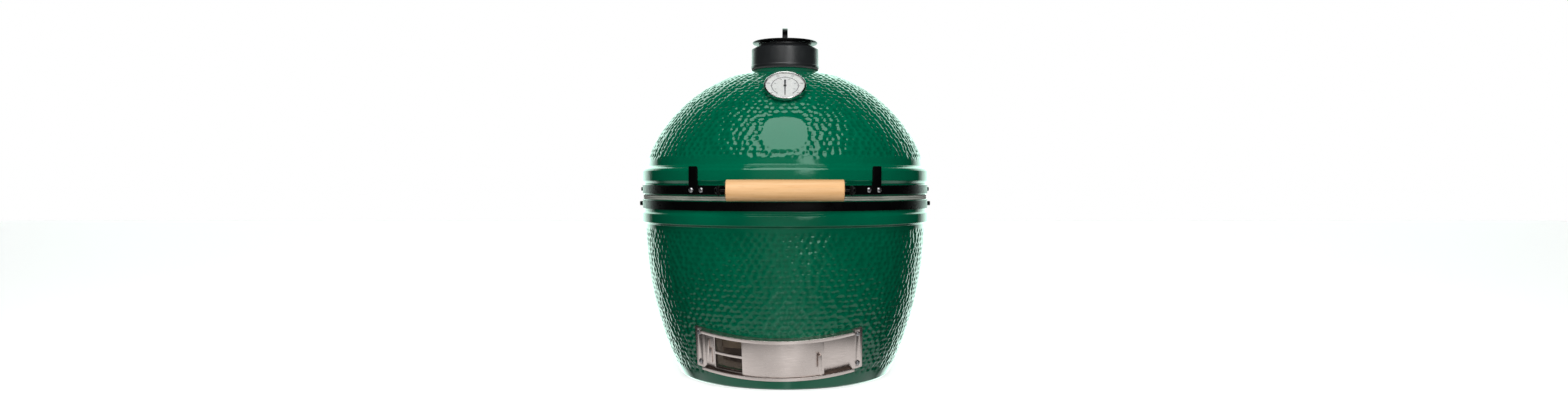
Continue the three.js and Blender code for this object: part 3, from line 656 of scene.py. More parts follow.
def base_piece():
    walls = np.arange(24, 362, STEP)
    foot = rounded([(0, 0), (FOOT, 0, 2.5), (FOOT + 5.5, 4, 3), (base_radius(22), 22)])
    ledge = rounded([
        (base_radius(358), 358), (base_radius(363.5), 363.5, 2), (LEDGE, 368, 2.6), (LEDGE, 388.5, 3),
        (GROOVE + 1, 393, 2), (GROOVE, 396.5, 1), (GROOVE, BASE_RIM, 1.2), (RIM_BORE, BASE_RIM, 1.2),
        (RIM_BORE, 340)], 5)[1:]
    inner = [(base_radius(z) - WALL, z) for z in (250, 170, 110, 60)] + [
        (238, 37), (226, FLOOR_TOP), (0, FLOOR_TOP)]
    outline = with_count(foot[:1], 1) + with_count(foot[1:-1], SMOOTH // 2) + with_count(foot[-1:], SMOOTH)
    start = len(outline)
    outline += with_count([(base_radius(z), z) for z in walls], FINE)
    end = len(outline) - 1
    outline += with_count(ledge[:-1], SMOOTH)
    inside = len(outline) - 7
    outline += with_count(ledge[-1:], SMOOTH // 2) + with_count(inner, SMOOTH // 4)

    def weight(z, x, front):
        return 0.8 * fade(z, 22, 34) * fade(-z, -357, -347) * np.ones(len(x)), np.zeros(len(x))

    opening = placed(sector(R0 - 60, R0 + 15, -25, -1.5, -34, 34, 12), draft_matrix)
    holes = [rod(3.3, R0 - 20, R0 + 15, 0, 16,
                 draft_matrix @ radial(0, side * SCREW_AZIMUTH, level * SCREW_HEIGHT))
             for side, level in SCREW_SPOTS]
    ceramic("base", outline, start, end, weight, 11, inside, [opening, *holes])


BADGE = {"z": 568, "half_width": 52, "half_height": 41}    # smooth raised patch on the front of the dome


def dome_inside(z):
    slope = (dome_radius(z + 0.5) - dome_radius(z - 0.5))
    length = math.hypot(1, slope)
    return dome_radius(z) - WALL / length, z + WALL * slope / length


def dome_piece():
    # the skin is walked in equal steps of arc length up to the shoulder of the neck
    zs, z = [513.0], 513.0
    while True:
        slope = (dome_radius(z + 0.2) - dome_radius(z - 0.2)) / 0.4
        z += STEP / math.hypot(1, slope)
        if z > 721:
            break
        zs.append(z)
    skirt = rounded([
        (RIM_BORE + 1, DOME_RIM), (341.5, DOME_RIM, 1), (GROOVE, 433.2, 1), (GROOVE, 457, 1),
        (346.5, 460.5, 2),
        (LEDGE, 465, 3), (LEDGE, 487.5, 3.2), (346, 492.5, 3), (334.5, 499, 5), (333.4, 508)], 5)
    shoulder = rounded([
        (dome_radius(zs[-1]), zs[-1]), (91, 729, 2), (82, 732.8, 2), (NECK["outer"], 734.6, 1),
        (NECK["outer"], NECK["top"], 1.5), (NECK["bore"], NECK["top"], 1.5), (NECK["bore"], 706)])[1:]
    inner = [dome_inside(z) for z in (715, 688, 655, 610, 560, 516)] + [(RIM_BORE - 2, 480), (RIM_BORE, 450)]
    outline = with_count(skirt, SMOOTH)
    start = len(outline)
    for z in zs:
        outline.append((dome_radius(z), z, FINE if dome_radius(z) > 190 else SMOOTH))
    end = len(outline) - 1
    outline += with_count(shoulder, SMOOTH // 2)
    inside = len(outline) - 6
    outline += with_count(inner, SMOOTH // 2)

    def weight(z, x, front):
        badge = np.sqrt(
            np.abs(x / BADGE["half_width"]) ** 2.6 + abs((z - BADGE["z"]) / BADGE["half_height"]) ** 2.6)
        patch = np.where(front, 1 - fade(badge, 0.86, 1.12), 0)
        return fade(z, 511, 521) * fade(-z, -721, -714) * (1 - patch), 0.4 * patch

    dial = aim((0, DIAL_Y, DIAL_Z), (0, -1, 1))
    stem = rod(5.6, -90, -5, 0, 24, dial)
    ceramic("dome", outline, start, end, weight, 23, inside, [stem])


base_piece()
dome_piece()

# ------------------------------------------------------------------ gaskets and bands


def felt_ring(name, z0, z1, seed):
    """A pressed felt ring whose outer edge wavers a little."""
    obj = turned(rounded([
        (330, z0), (344.6, z0, 1.6), (344.6, z1, 1.6), (RIM_BORE + 1, z1, 1), (RIM_BORE + 1, z0, 1),
        (329.9, z0)], 4), 360)
    random = np.random.RandomState(seed)
    waves = [(k, 0.35 * random.rand() / math.sqrt(i + 1), 6.3 * random.rand())
             for i, k in enumerate((5, 9, 17, 31, 53, 89, 131))]
    for v in obj.data.vertices:
        r, a = math.hypot(v.co.x, v.co.y), math.atan2(v.co.x, -v.co.y)
        if r > 0.338:
            push = 1 + MM * min(0.3, sum(h * math.sin(k * a + p) for k, h, p in waves)) / r
            v.co.x *= push
            v.co.y *= push
    piece(name, obj, "felt")


felt_ring("base_gasket", BASE_RIM + 0.3, 425.7, 3)
felt_ring("dome_gasket", 426.1, DOME_RIM - 0.3, 4)

LOWER_Z, UPPER_Z = BAND_LOW + BAND_HEIGHT / 2, BAND_HIGH + BAND_HEIGHT / 2
for name, z in (("lower_band", BAND_LOW), ("upper_band", BAND_HIGH)):
    piece(name, ring(*BAND, z, z + BAND_HEIGHT, 0.8, 240), "black_steel")


def hexagon(radius):
    return [(radius * math.cos(rad(60 * k)), radius * math.sin(rad(60 * k))) for k in range(6)]


def button_head(head, height, shank, length, matrix, socket=0.5):
    """A round bolt with a domed head and a hexagonal socket."""
    profile = rounded([
        (0, -length), (shank, -length, 0.4), (shank, -0.01), (head, 0, 0.3), (head, height * 0.35, 1),
        (head * 0.62, height, 1.2), (0, height)], 4)
    obj = turned(profile, 40)
    return placed(cut(obj, prism(hexagon(head * socket), height * 0.45, height + 1)), matrix)


def hex_head(head, height, shank, length, matrix):
    """A hexagon bolt with a chamfered head and a thin washer under it."""
    body = eased(prism(hexagon(head), 0.9, height), 0.5, 2)
    washer = rod(head, 0, 1.0, 0.2, 40)
    stem = rod(shank, -length, 1, 0.3, 24)
    return placed(together(body, washer, stem), matrix)


SIDES = (("left", -1), ("right", 1))
for side, sign in SIDES:
    bearing = BAND[1] + 0.4
    for name, z, head, height in (("lower", LOWER_Z, 5.5, 9.6), ("upper", UPPER_Z, 4.8, 6.4)):
        bolt = hex_head(head, height, 3, bearing - BAND[0] - 0.2, radial(bearing, sign * 90, z))
        piece(f"{name}_band_bolt_{side}", bolt, "black_steel")

# ------------------------------------------------------------------ hinge


def arc(cy, cz, radius, start, end, steps=14):
    return [(cy + radius * math.cos(rad(start + (end - start) * i / steps)),
             cz + radius * math.sin(rad(start + (end - start) * i / steps))) for i in range(steps + 1)]


def hinge_bracket(name, z0, foot, start, end, x0, x1):
    strap = sector(*STRAP, 168, 192, z0, z0 + BAND_HEIGHT, 24)
    lugs = [side_plate(foot + arc(HINGE_Y, HINGE_Z, 12, start, end), a, b) for a, b in ((x0, x1), (-x1, -x0))]
    bore = rod(6.4, -80, 80, 0, 32, aim((0, HINGE_Y, HINGE_Z), (1, 0, 0)))
    piece(name, eased(cut(fused(strap, *lugs), bore), 0.7, 2, 40), "black_steel")


hinge_bracket("lower_hinge_bracket", BAND_LOW,
              [(346, BAND_LOW + 1), (346, BAND_LOW + BAND_HEIGHT - 0.3), (374, 424)], 125, -95, 52, 58)
hinge_bracket("upper_hinge_bracket", BAND_HIGH + 0.3,
              [(344, BAND_HIGH + 0.6), (344, BAND_HIGH + BAND_HEIGHT), (374, 449)], 70, -150, 60.5, 66.5)
piece("hinge_shaft", rod(6, -74, 74, 1, 48, aim((0, HINGE_Y, HINGE_Z), (1, 0, 0))), "zinc")

for side, sign in SIDES:
    nut = prism(hexagon(10), 67.2, 73.5)
    nut = cut(nut, rod(6.3, 60, 80, 0, 32))
    piece(f"hinge_nut_{side}", placed(eased(nut, 0.6, 2), aim((0, HINGE_Y, HINGE_Z), (sign, 0, 0))), "zinc")
    for level, z in (("lower", LOWER_Z), ("upper", UPPER_Z + 0.3)):
        bearing = STRAP[1] + 0.4
        bolt = button_head(6, 4.5, 3, bearing - BAND[0] - 0.2, radial(bearing, 180 - sign * 5.5, z))
        piece(f"{level}_hinge_bolt_{side}", bolt, "zinc")

SPRING = {"radius": 15, "wire": 2.9, "turns": 5, "near": 10, "far": 46, "tip_y": 349}
LIFT_TIP = BAND_HIGH - 1 - SPRING["wire"]
REST_TIP = BAND_LOW + BAND_HEIGHT + 1 + SPRING["wire"]


def leg_angle(tip_z, side):
    """The angle at which a straight leg from a tip leaves the coil."""
    dy, dz = SPRING["tip_y"] - HINGE_Y, tip_z - HINGE_Z
    return math.atan2(dz, dy) + (2 * math.pi if dz < 0 else 0) - side * math.acos(
        SPRING["radius"] / math.hypot(dy, dz))


def spring_path(sign):
    start = leg_angle(LIFT_TIP, 1)
    end = leg_angle(REST_TIP, -1) - 2 * math.pi * (SPRING["turns"] + 1)
    near, far, steps = SPRING["near"], SPRING["far"], 170
    coil = []
    for i in range(steps + 1):
        a = start + (end - start) * i / steps
        coil.append(Vector((
            sign * (near + (far - near) * i / steps),
            HINGE_Y + SPRING["radius"] * math.cos(a),
            HINGE_Z + SPRING["radius"] * math.sin(a))))
    lift = Vector((sign * near, SPRING["tip_y"], LIFT_TIP))
    rest = Vector((sign * far, SPRING["tip_y"], REST_TIP))
    leg = lambda a, b: [a.lerp(b, t) for t in (0, 0.25, 0.5, 0.75, 0.92)]
    return leg(lift, coil[0]) + coil + leg(rest, coil[-1])[::-1]


for side, sign in SIDES:
    spring = tube(spring_path(sign), SPRING["wire"], 12)
    piece(f"hinge_spring_{side}", spring, "spring_steel", body="both")
    at = lambda x: (sign * x * MM, HINGE_Y * MM, HINGE_Z * MM)
    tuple(at(SPRING["near"] + 3))
    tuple(at(SPRING["far"] - 3))
    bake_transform(spring)

# ------------------------------------------------------------------ handle

FLANGE_X, FLANGE_TIP, PRONG, THICK = 136.8, -413, 34.3, 5
HANDLE_BOLTS = (30.9, 34.8)


def bracket_plan():
    """The bent flat bar in plan: along the band, then out in a curve to the flange."""
    middle = sum(STRAP) / 2
    plate = [polar(middle, 37.5 - 9.5 * i / 8) for i in range(9)]
    p0 = Vector(plate[-1])
    p1 = p0 - 20 * Vector((math.cos(rad(28)), math.sin(rad(28))))
    p2, p3 = Vector((FLANGE_X, -338)), Vector((FLANGE_X, -372))
    bend = [p0 * (1 - t) ** 3 + p1 * 3 * t * (1 - t) ** 2 + p2 * 3 * t * t * (1 - t) + p3 * t ** 3
            for t in np.arange(1, 15) / 14]
    centre = [Vector(p) for p in plate] + bend + [Vector((FLANGE_X, FLANGE_TIP))]
    sides = []
    for sign in (1, -1):
        line = []
        for i, p in enumerate(centre):
            along = centre[min(i + 1, len(centre) - 1)] - centre[max(i - 1, 0)]
            line.append(p + sign * THICK / 2 * Vector((-along.y, along.x)).normalized())
        sides.append(line)
    return [tuple(p) for p in sides[0] + sides[1][::-1]]


def handle_bracket():
    z0, z1 = BAND_HIGH, BAND_HIGH + BAND_HEIGHT
    bar = prism(bracket_plan(), z0, z1)
    # the prong stands in front of the ledge, its top bent back a little
    outline = [(0, z0), (0, 491.5), (-1.2, 494.3), (-3.2, 496), (-THICK, 496), (-THICK, z0)]
    prong = side_plate(outline, -11, 11)
    placed(prong, Matrix.Rotation(rad(PRONG), 4, "Z") @ shift(0, -(LEDGE + 0.8), 0))
    bracket = eased(fused(bar, prong), 0.8, 3, 40)
    bore = rod(3.9, 99, 160, 0, 24, aim((0, HANDLE_Y, HANDLE_Z), (1, 0, 0)))
    return cut(bracket, bore)


for side, sign in SIDES:
    mirror = Matrix.Scale(sign, 4, (1, 0, 0))
    piece(f"handle_bracket_{side}", placed(handle_bracket(), mirror), "black_steel")
    for name, azimuth, bearing in (
            ("inner", HANDLE_BOLTS[0], STRAP[1] + 0.4), ("outer", HANDLE_BOLTS[1], LEDGE + 6.4)):
        bolt = button_head(6, 4.5, 3, bearing - BAND[0] - 0.2, radial(bearing, sign * azimuth, UPPER_Z), 0.45)
        piece(f"bracket_bolt_{side}_{name}", bolt, "zinc")
    bearing = FLANGE_X + THICK / 2 + 0.4
    bolt = button_head(7.5, 5, 3.5, bearing - 100, aim((sign * bearing, HANDLE_Y, HANDLE_Z), (sign, 0, 0)))
    piece(f"handle_bolt_{side}", bolt, "black_steel")

grip = rounded([
    (0, -HANDLE_HALF), (HANDLE_RADIUS, -HANDLE_HALF, 3), (HANDLE_RADIUS, HANDLE_HALF, 3),
    (0, HANDLE_HALF)], 6)
grip = grip[:-8] + [(HANDLE_RADIUS, z) for z in np.linspace(-110, 110, 12)] + grip[-8:]
to_x = aim((0, HANDLE_Y, HANDLE_Z), (1, 0, 0))
bores = [rod(3.9, 99, 160, 0, 32, aim((0, HANDLE_Y, HANDLE_Z), (sign, 0, 0))) for sign in (1, -1)]
piece("handle_grip", cut(turned(grip, 72, to_x), *bores), "maple")

# ------------------------------------------------------------------ cap and damper

COLLAR_Z, COLLAR_TOP = low_of("cap_collar").z, top_of("cap_collar").z
piece("cap_gasket", ring(NECK["outer"] + 0.7, 81.5, 735, COLLAR_Z - 0.3, 0.8, 128), "black_felt")

bore = NECK["outer"] + 0.9
collar = turned(rounded([
    (bore, COLLAR_Z + 4), (bore, COLLAR_Z, 0.6), (83, COLLAR_Z, 1.2), (83, COLLAR_Z + 5, 1),
    (82, COLLAR_Z + 6.5, 1),
    (81.5, 785, 1.2), (67, COLLAR_TOP, 1), (52, COLLAR_TOP, 1.2), (52, NECK["top"] + 0.6, 1.2),
    (bore, NECK["top"] + 0.6, 1)], 5), 160)
boss = rod(9, NECK["top"] + 0.6, COLLAR_TOP, 0.8, 40, shift(0, PIVOT_Y))
pin_hole = rod(4.5, 770, 800, 0, 32, shift(0, PIVOT_Y))
piece("cap_collar", cut(fused(collar, boss), pin_hole), "cap_black")
piece("cap_pivot_pin", turned(rounded([
    (0, 779.6), (4, 779.6, 0.5), (4, 796.2), (6.5, 796.2, 0.3), (6.5, 798.6, 1.2), (0, 798.6)], 4), 40,
    shift(0, PIVOT_Y)), "zinc")


def ports(offset, z0, z1):
    return [sector(20, 50, offset + 90 * k - 20, offset + 90 * k + 20, z0, z1, 10) for k in range(4)]


drum = turned(rounded([
    (3.3, 795), (57, 795, 1), (57, COLLAR_TOP + 0.4, 0.6), (64.5, COLLAR_TOP + 0.4, 0.6),
    (64.5, 798.6, 0.6), (3.3, 798.6)], 4), 144)
lug = fused(rod(9, COLLAR_TOP + 0.4, 795.9, 0.6, 40, shift(0, PIVOT_Y)),
            block(-8, 8, 60, PIVOT_Y, COLLAR_TOP + 0.4, 795.9))
pin_hole = rod(4.5, 780, 800, 0, 32, shift(0, PIVOT_Y))
piece("swing_lid", cut(fused(drum, lug), pin_hole, *ports(0, 790, 810)), "cap_black")

disc = turned(rounded([
    (0, 805.5), (3.3, 805.5), (3.3, 799), (77.5, 799, 0.8), (79.3, 800.5, 0.8), (79.3, 802.5, 0.8),
    (77, 804.3, 1.5), (60, 805.5, 4), (30, 809, 8), (0, 810.5)], 4), 160)
disc = eased(cut(disc, *ports(45, 795, 820)), 0.5, 2, 50)


def fin_piece():
    """The upright grip: thin, rounded over and swept down to both ends."""
    crest = [(-54, 807), (-51, 814), (-42, 822.5), (-32, 829), (-23, 833.6), (-14, 836), (14, 836),
        (23, 833.6),
             (32, 829), (42, 822.5), (51, 814), (54, 807)]
    fin = side_plate([(-54, 805.6)] + crest + [(54, 805.6)], -6.5, 6.5)
    return eased(fin, 4.8, 5, 60)


piece("damper_disc", fused(disc, fin_piece()), "black_steel")
piece("damper_pin", turned(rounded([
    (0, 793.1), (7, 793.1, 0.8), (7, 794.7, 0.3), (2.8, 794.7), (2.8, 805), (0, 805)], 4), 32), "zinc")

# ------------------------------------------------------------------ thermometer

dial = aim((0, DIAL_Y, DIAL_Z), (0, -1, 1))
FACE = DIAL_RADIUS - 3.4
piece("thermometer_case", turned(rounded([
    (5, -12), (29, -12, 1.5), (30, -8.5, 1), (DIAL_RADIUS - 0.6, -8.5, 1), (DIAL_RADIUS, -7, 0.8),
    (DIAL_RADIUS, -1.2, 1.2), (DIAL_RADIUS - 1.6, 0, 1.2), (FACE, -0.3, 0.8), (FACE, -6.6),
    (5, -6.6)], 5), 144, dial),
    "bezel")

INK_TOP = -5.34


def number(text, size, x, y):
    curve = bpy.data.curves.new("number", "FONT")
    curve.body, curve.size = text, size * MM
    curve.align_x, curve.align_y, curve.extrude, curve.resolution_u = "CENTER", "CENTER", 0.00003, 3
    source = bpy.data.objects.new("number", curve)
    bpy.context.scene.collection.objects.link(source)
    data = bpy.data.meshes.new_from_object(source.evaluated_get(bpy.context.evaluated_depsgraph_get()))
    bpy.data.objects.remove(source)
    obj = bpy.data.objects.new("number", data)
    bpy.context.scene.collection.objects.link(obj)
    return placed(obj, shift(x, y, INK_TOP))


def on_dial(radius, clock):
    """A point on the dial, clock in degrees from its top."""
    return radius * math.sin(rad(clock)), radius * math.cos(rad(clock))


def dial_print():
    """The scale: an open arc with ticks inside a ring of plain numbers."""
    z = (INK_TOP - 0.03, INK_TOP + 0.03)
    ink = [sector(29, 30.1, 180 - 146, 180 + 146, *z, 90)]
    for k in range(51):
        clock = -146 + 292 * k / 50
        length, half = (3.2, 0.36) if k % 5 == 0 else (1.7, 0.18)
        turn = Matrix.Rotation(rad(-clock), 4, "Z")
        ink.append(placed(block(-half, half, 30, 30 + length, *z), turn))
    for k in range(6):
        ink.append(number(str(100 * (k + 1)), 5.2, *on_dial(37.6, -128 + 51.2 * k)))
        ink.append(number(str(50 * (k + 1)), 3.8, *on_dial(23.8, -118 + 47.2 * k)))
    for k in range(13):
        clock = -132 + 22 * k
        ink.append(placed(block(-0.24, 0.24, 27, 28.6, *z), Matrix.Rotation(rad(-clock), 4, "Z")))
    return together(*ink)


def dial_face():
    face = turned(rounded([(1.8, -6.2), (FACE - 0.4, -6.2, 0.2), (FACE - 0.4, -5.4, 0.2),
        (1.8, -5.4)], 3), 128)
    plain = len(face.data.polygons)
    both = together(face, dial_print())
    both.data.materials.append(SLOTS["dial_white"])
    both.data.materials.append(SLOTS["dial_black"])
    both.data.polygons.foreach_set(
        "material_index", [int(i >= plain) for i in range(len(both.data.polygons))])
    piece("dial_face", placed(both, dial), "dial_white", extra=True)


dial_face()
piece("dial_lens", turned(rounded([
    (0, -2.6), (FACE - 0.4, -2.6, 0.2), (FACE - 0.4, -1.6, 0.2), (FACE * 0.7, -1.15, 8),
    (0, -0.9)], 6), 128, dial),
    "lens")

TIP, TAIL = -32, 20
blade = prism([(-1.4, 0), (-0.9, TIP + 1), (0, TIP), (0.9, TIP + 1), (1.4, 0), (2.2, TAIL - 1), (1.6, TAIL),
               (-1.6, TAIL), (-2.2, TAIL - 1)], -4.8, -3.9)
hub = turned(rounded([(0, -6.5), (1.2, -6.5), (1.2, -4.9), (3.4, -4.8, 0.2), (3.4, -3.6, 0.8),
    (0, -3.4)], 4), 40)
piece("needle", placed(fused(eased(blade, 0.15, 1), hub), dial), "dial_black")
piece("thermometer_stem", turned(rounded([
    (0, -140), (2, -140, 0.6), (4.5, -135, 2), (4.5, -6.9), (0, -6.9)], 4), 32, dial), "stainless")
nut = prism(hexagon(11), -50.5, -43.5)
piece("thermometer_nut", placed(eased(cut(nut, rod(5.5, -60, -40, 0, 32)), 0.6, 2), dial), "zinc")

# ------------------------------------------------------------------ inside the base

fire_box = turned(rounded([
    (226, 70), (226, FLOOR_TOP + 0.5, 2), (203, FLOOR_TOP + 0.5, 2), (205, 98, 3), (101, 103, 3),
    (101, 113, 1.5),
    (113, 113, 1), (113, 120, 2), (180, 128, 12), (243, 155, 20), (264, 200, 12), (271, 250, 3),
    (291, 250, 3),
    (286, 200, 12), (264, 120, 12), (245, 76)][::-1], 4), 144)
opening_azimuth = DRAFT["turn"] - 13.25 * R0 / DRAFT["reach"]
arch = placed(block(-68, 68, -280, -150, FLOOR_TOP - 5, 88), Matrix.Rotation(rad(opening_azimuth), 4, "Z"))
air = [rod(5, 225, 300, 0, 24, radial(0, 22.5 + 45 * k, 168)) for k in range(8)]
piece("fire_box", eased(cut(fire_box, arch, *air), 1.2, 2, 50), "fire_clay")
piece("fire_ring", ring(281, 303, 250.4, 404, 3, 144), "fire_clay")

grate = rod(111, 113.4, 121.4, 1.2, 128)
slots = []
for i in range(-4, 5):
    x = i * 21
    reach = math.sqrt(98 ** 2 - x * x)
    ends = [(x + 3.5 * math.cos(rad(a)), s * (reach - 3.5) + 3.5 * math.sin(rad(a)))
            for s, turn in ((1, 0), (-1, 180)) for a in range(turn, turn + 181, 30)]
    slots.append(prism(ends, 100, 140))
piece("fire_grate", eased(cut(grate, *slots), 0.8, 2, 50), "cast_iron")


def cooking_grid():
    """Round bars welded on a round rim and two cross bars."""
    z, rim_circle, rim, bar, pitch, bars_aside, weld = 404.4, 300.8, 4, 2.5, 15.6, 18, 299.8
    parts = [turned([(rim_circle + rim * math.cos(a), z + rim + rim * math.sin(a))
                     for a in np.arange(12) * math.pi / 6], 160)]
    for i in range(-bars_aside, bars_aside + 1):
        x = i * pitch
        reach = math.sqrt(weld ** 2 - x * x)
        parts.append(tube([(x, -reach, z + 5.1), (x, 0, z + 5.1), (x, reach, z + 5.1)], bar, 10))
    for y in (-100, 100):
        parts.append(tube([(-282, y, z + 2), (0, y, z + 2), (282, y, z + 2)], 1.9, 12))
    piece("cooking_grid", together(*parts), "stainless")


cooking_grid()

# ------------------------------------------------------------------ draft door

HALF, SPAN = DRAFT["half"], DRAFT["span"]
PLATE, MESH, SCREEN = (R0, R0 + 1.6), (R0 + 2.3, R0 + 2.9), (R0 + 3.2, R0 + 4.4)
SOLID, LIP = (R0 + 7.8, R0 + 9.2), (R0 + 10, R0 + 11.4)
RAIL_FROM, RAIL_TO, RAIL_WALL, RAIL_LIP = -30.7, 30.2, 2.7, 7.7
PANEL = HALF - RAIL_WALL - 0.8


def rail(level):
    """One channel: a wall that stands on the plate and a lip turned back over the panels."""
    inner, outer = R0 + 1, LIP[1]
    edge = level * HALF
    section = [(inner, edge), (outer, edge), (outer, edge - level * RAIL_LIP),
        (LIP[0], edge - level * RAIL_LIP),
               (LIP[0], edge - level * RAIL_WALL), (inner, edge - level * RAIL_WALL)]
    steps = 48
    points = []
    for azimuth in np.linspace(RAIL_FROM, RAIL_TO, steps + 1):
        points += [(*polar(r, azimuth), h) for r, h in section]
    n = len(section)
    faces = [[i * n + k, i * n + (k + 1) % n, (i + 1) * n + (k + 1) % n, (i + 1) * n + k]
             for i in range(steps) for k in range(n)]
    faces += [list(range(n)), [steps * n + k for k in range(n)]]
    return eased(shape(points, faces), 0.6, 3, 40)


def skirt():
    """The closing sheet between the plate and the curved wall of the base."""
    depth = R0 - 16
    walls = together(
        sector(depth, R0 + 1, -SPAN, SPAN, HALF - 1.6, HALF, 48),
        sector(depth, R0 + 1, -SPAN, SPAN, -HALF, 1.6 - HALF, 48),
        sector(depth, R0 + 1, -SPAN, 0.35 - SPAN, 1.7 - HALF, HALF - 1.7, 1, 8),
        sector(depth, R0 + 1, SPAN - 0.35, SPAN, 1.7 - HALF, HALF - 1.7, 1, 8))
    placed(walls, draft_matrix)
    wall = [(base_radius(z) - 1.2, z) for z in range(0, 350, 12)]
    core = turned([(0, 0), *wall, (0, 348)], 240)
    return cut(walls, core)


plate = sector(*PLATE, -SPAN, SPAN, -HALF, HALF, 56)
window = sector(R0 - 5, R0 + 5, -26, -0.5, -36, 36, 24)
holes = [rod(3.3, R0 - 10, R0 + 10, 0, 24, radial(0, side * SCREW_AZIMUTH, level * SCREW_HEIGHT))
         for side, level in SCREW_SPOTS]
plate = eased(cut(plate, window, *holes), 0.4, 2, 40)
sheet_frame = placed(together(plate, rail(1), rail(-1)), draft_matrix)


def dress_with_painted_shade(obj, chosen):
    """Dresses a metal mesh in clean steel, and the chosen faces of it in darker steel that is painted shade.
    """
    obj.data.materials.append(SLOTS["stainless"])
    obj.data.materials.append(PAINTED_SHADE_STEEL)
    obj.data.polygons.foreach_set("material_index", [int(chosen(face)) for face in obj.data.polygons])
    return obj


DOOR_AXIS = draft_matrix.inverted()


def in_channel(face):
    """Faces of the channel walls and of the plate beside them, which get painted shade for the shadow inside
    the channel.
    """
    spot = DOOR_AXIS @ (face.center / MM)
    radius = math.hypot(spot.x, spot.y)
    return R0 + 1.2 < radius < LIP[0] and HALF - 9 < abs(spot.z) < HALF - RAIL_WALL + 0.2


# the channel faces are painted darker: painted shade for the shadowed channel
piece("draft_frame", dress_with_painted_shade(together(sheet_frame, skirt()), in_channel), "stainless", extra=True)

solid = eased(sector(*SOLID, -13.4, 17.8, -PANEL, PANEL, 32), 0.35, 2, 40)
tab = eased(sector(SOLID[0] + 0.5, R0 + 19, 16.02, 16.4, -27, 13, 1), 0.5, 2, 40)
lip = eased(sector(R0 + 17.2, R0 + 19, 15.2, 16.4, -27, 13, 3), 0.5, 2, 40)
piece("solid_door", placed(together(solid, tab, lip), draft_matrix), "stainless")

screen = sector(*SCREEN, -29.6, 2.4, -PANEL, PANEL, 32)
windows = [sector(R0, R0 + 9, -25, -1.2, *sorted((level * 3.4, level * 38.5)), 24) for level in (-1, 1)]
screen = eased(cut(screen, *windows), 0.35, 2, 40)
grips = [eased(sector(SCREEN[0] + 0.3, R0 + 7, a, b, low, high, 2), 0.5, 2, 40)
         for a, b, low, high in ((-28.4, -27.4, -10, 30), (-27.5, -26.4, -28, 8))]
piece("screen_door", placed(together(screen, *grips), draft_matrix), "stainless")


def woven_screen():
    """A woven wire mesh: each wire passes over and under its neighbours."""
    pitch, wire = (2.0), 0.26
    middle, swing = sum(MESH) / 2, 0.16
    low, high, left, right = -40.5, 40.5, -26.5, 0.3
    columns = int((right - left) * rad(1) * middle / pitch)
    rows = int((high - low) / pitch)
    parts = []
    for j in range(rows + 1):
        h = low + (high - low) * j / rows
        path = [(*polar(middle + swing * (-1) ** (i + j), left + (right - left) * i / columns), h)
                for i in range(columns + 1)]
        parts.append(path)
    for i in range(columns + 1):
        azimuth = left + (right - left) * i / columns
        path = [(*polar(middle - swing * (-1) ** (i + j), azimuth), low + (high - low) * j / rows)
                for j in range(rows + 1)]
        parts.append(path)
    points, faces = [], []
    for path in parts:
        start = len(points)
        obj = tube(path, wire, 4)
        points += [v.co / MM for v in obj.data.vertices]
        faces += [[start + k for k in p.vertices] for p in obj.data.polygons]
        bpy.data.objects.remove(obj)
    return shape(points, faces)


# the whole spark mesh is dressed in darker steel: painted shade for the dark inside seen through it
piece("screen_mesh", dress_with_painted_shade(placed(woven_screen(), draft_matrix), lambda face: True), "stainless",
      extra=True, smooth=60)


def slotted_screw(matrix):
    """A pan-head screw with a straight slot."""
    profile = rounded([
        (0, -16), (2.8, -16, 0.4), (2.8, 0), (5.2, 0, 0.3), (5.2, 1.2, 0.6), (3.6, 2.8, 1.4), (0, 2.8)], 4)
    return placed(cut(turned(profile, 40), block(-6, 6, -0.55, 0.55, 1.6, 4)), matrix)


for index, (side, level) in enumerate(SCREW_SPOTS):
    spot = draft_matrix @ radial(PLATE[1] + 0.4, side * SCREW_AZIMUTH, level * SCREW_HEIGHT)
    name = f"frame_screw_{'left' if side < 0 else 'right'}_{'low' if level < 0 else 'high'}"
    piece(name, slotted_screw(spot @ Matrix.Rotation(rad(35 + 47 * index), 4, "Z")), "zinc")

# ------------------------------------------------------------------ floor, light and camera


def stage():
    corners = ((-1, -1), (1, -1), (1, 1), (-1, 1))
    floor = shape([(x * 9000, y * 9000, -0.5) for x, y in corners], [[0, 1, 2, 3]])
    floor.name = "floor"
    f = Finish("pale_floor", (0.88, 0.88, 0.88), 0.6)
    f.colour(f.mixed(f.scaled(f.noise(0.6, 2), 0, 1), (0.88, 0.88, 0.88), (0.85, 0.85, 0.85)))
    f.shader.inputs["Emission Color"].default_value = (1, 1, 1, 1)
    f.shader.inputs["Emission Strength"].default_value = 0.75
    floor.data.materials.append(f.material)
    floor.visible_glossy = floor.visible_diffuse = False


# the room's brightness: where it starts and stops changing, and its value at each of the two;
# azimuths are in degrees from the front
FRONT_WALL = (5, 38, 0.27, 0.01)
STRIP_AT, STRIP_LEAN = 15, 12
STRIP_WIDTH = (3, 10, 1.0, 0.0)
STRIP_TOP = (0.4, 0.6, 1.0, 0.0)
STRIP_HIGH, STRIP_LOW = (-0.02, 0.1, 0.0, 3.6), (-0.65, -0.4, 0.6, 0.0)
FLOOR_GLOW = (-0.62, -0.45, 0.55, 0.0)
GLOW_ASIDE = (15, 50, 0.76, 1.5)
BACK_WALL = (0.6, 0.85, 0.0, 2.7)
BACK_TINT = (0.72, 1.0, 0.88, 1.0)
FILL_LOW, FILL_HIGH = 0.2, 0.0
FILL_FRONT = (-1.0, -0.78, 4.2, 0.0)


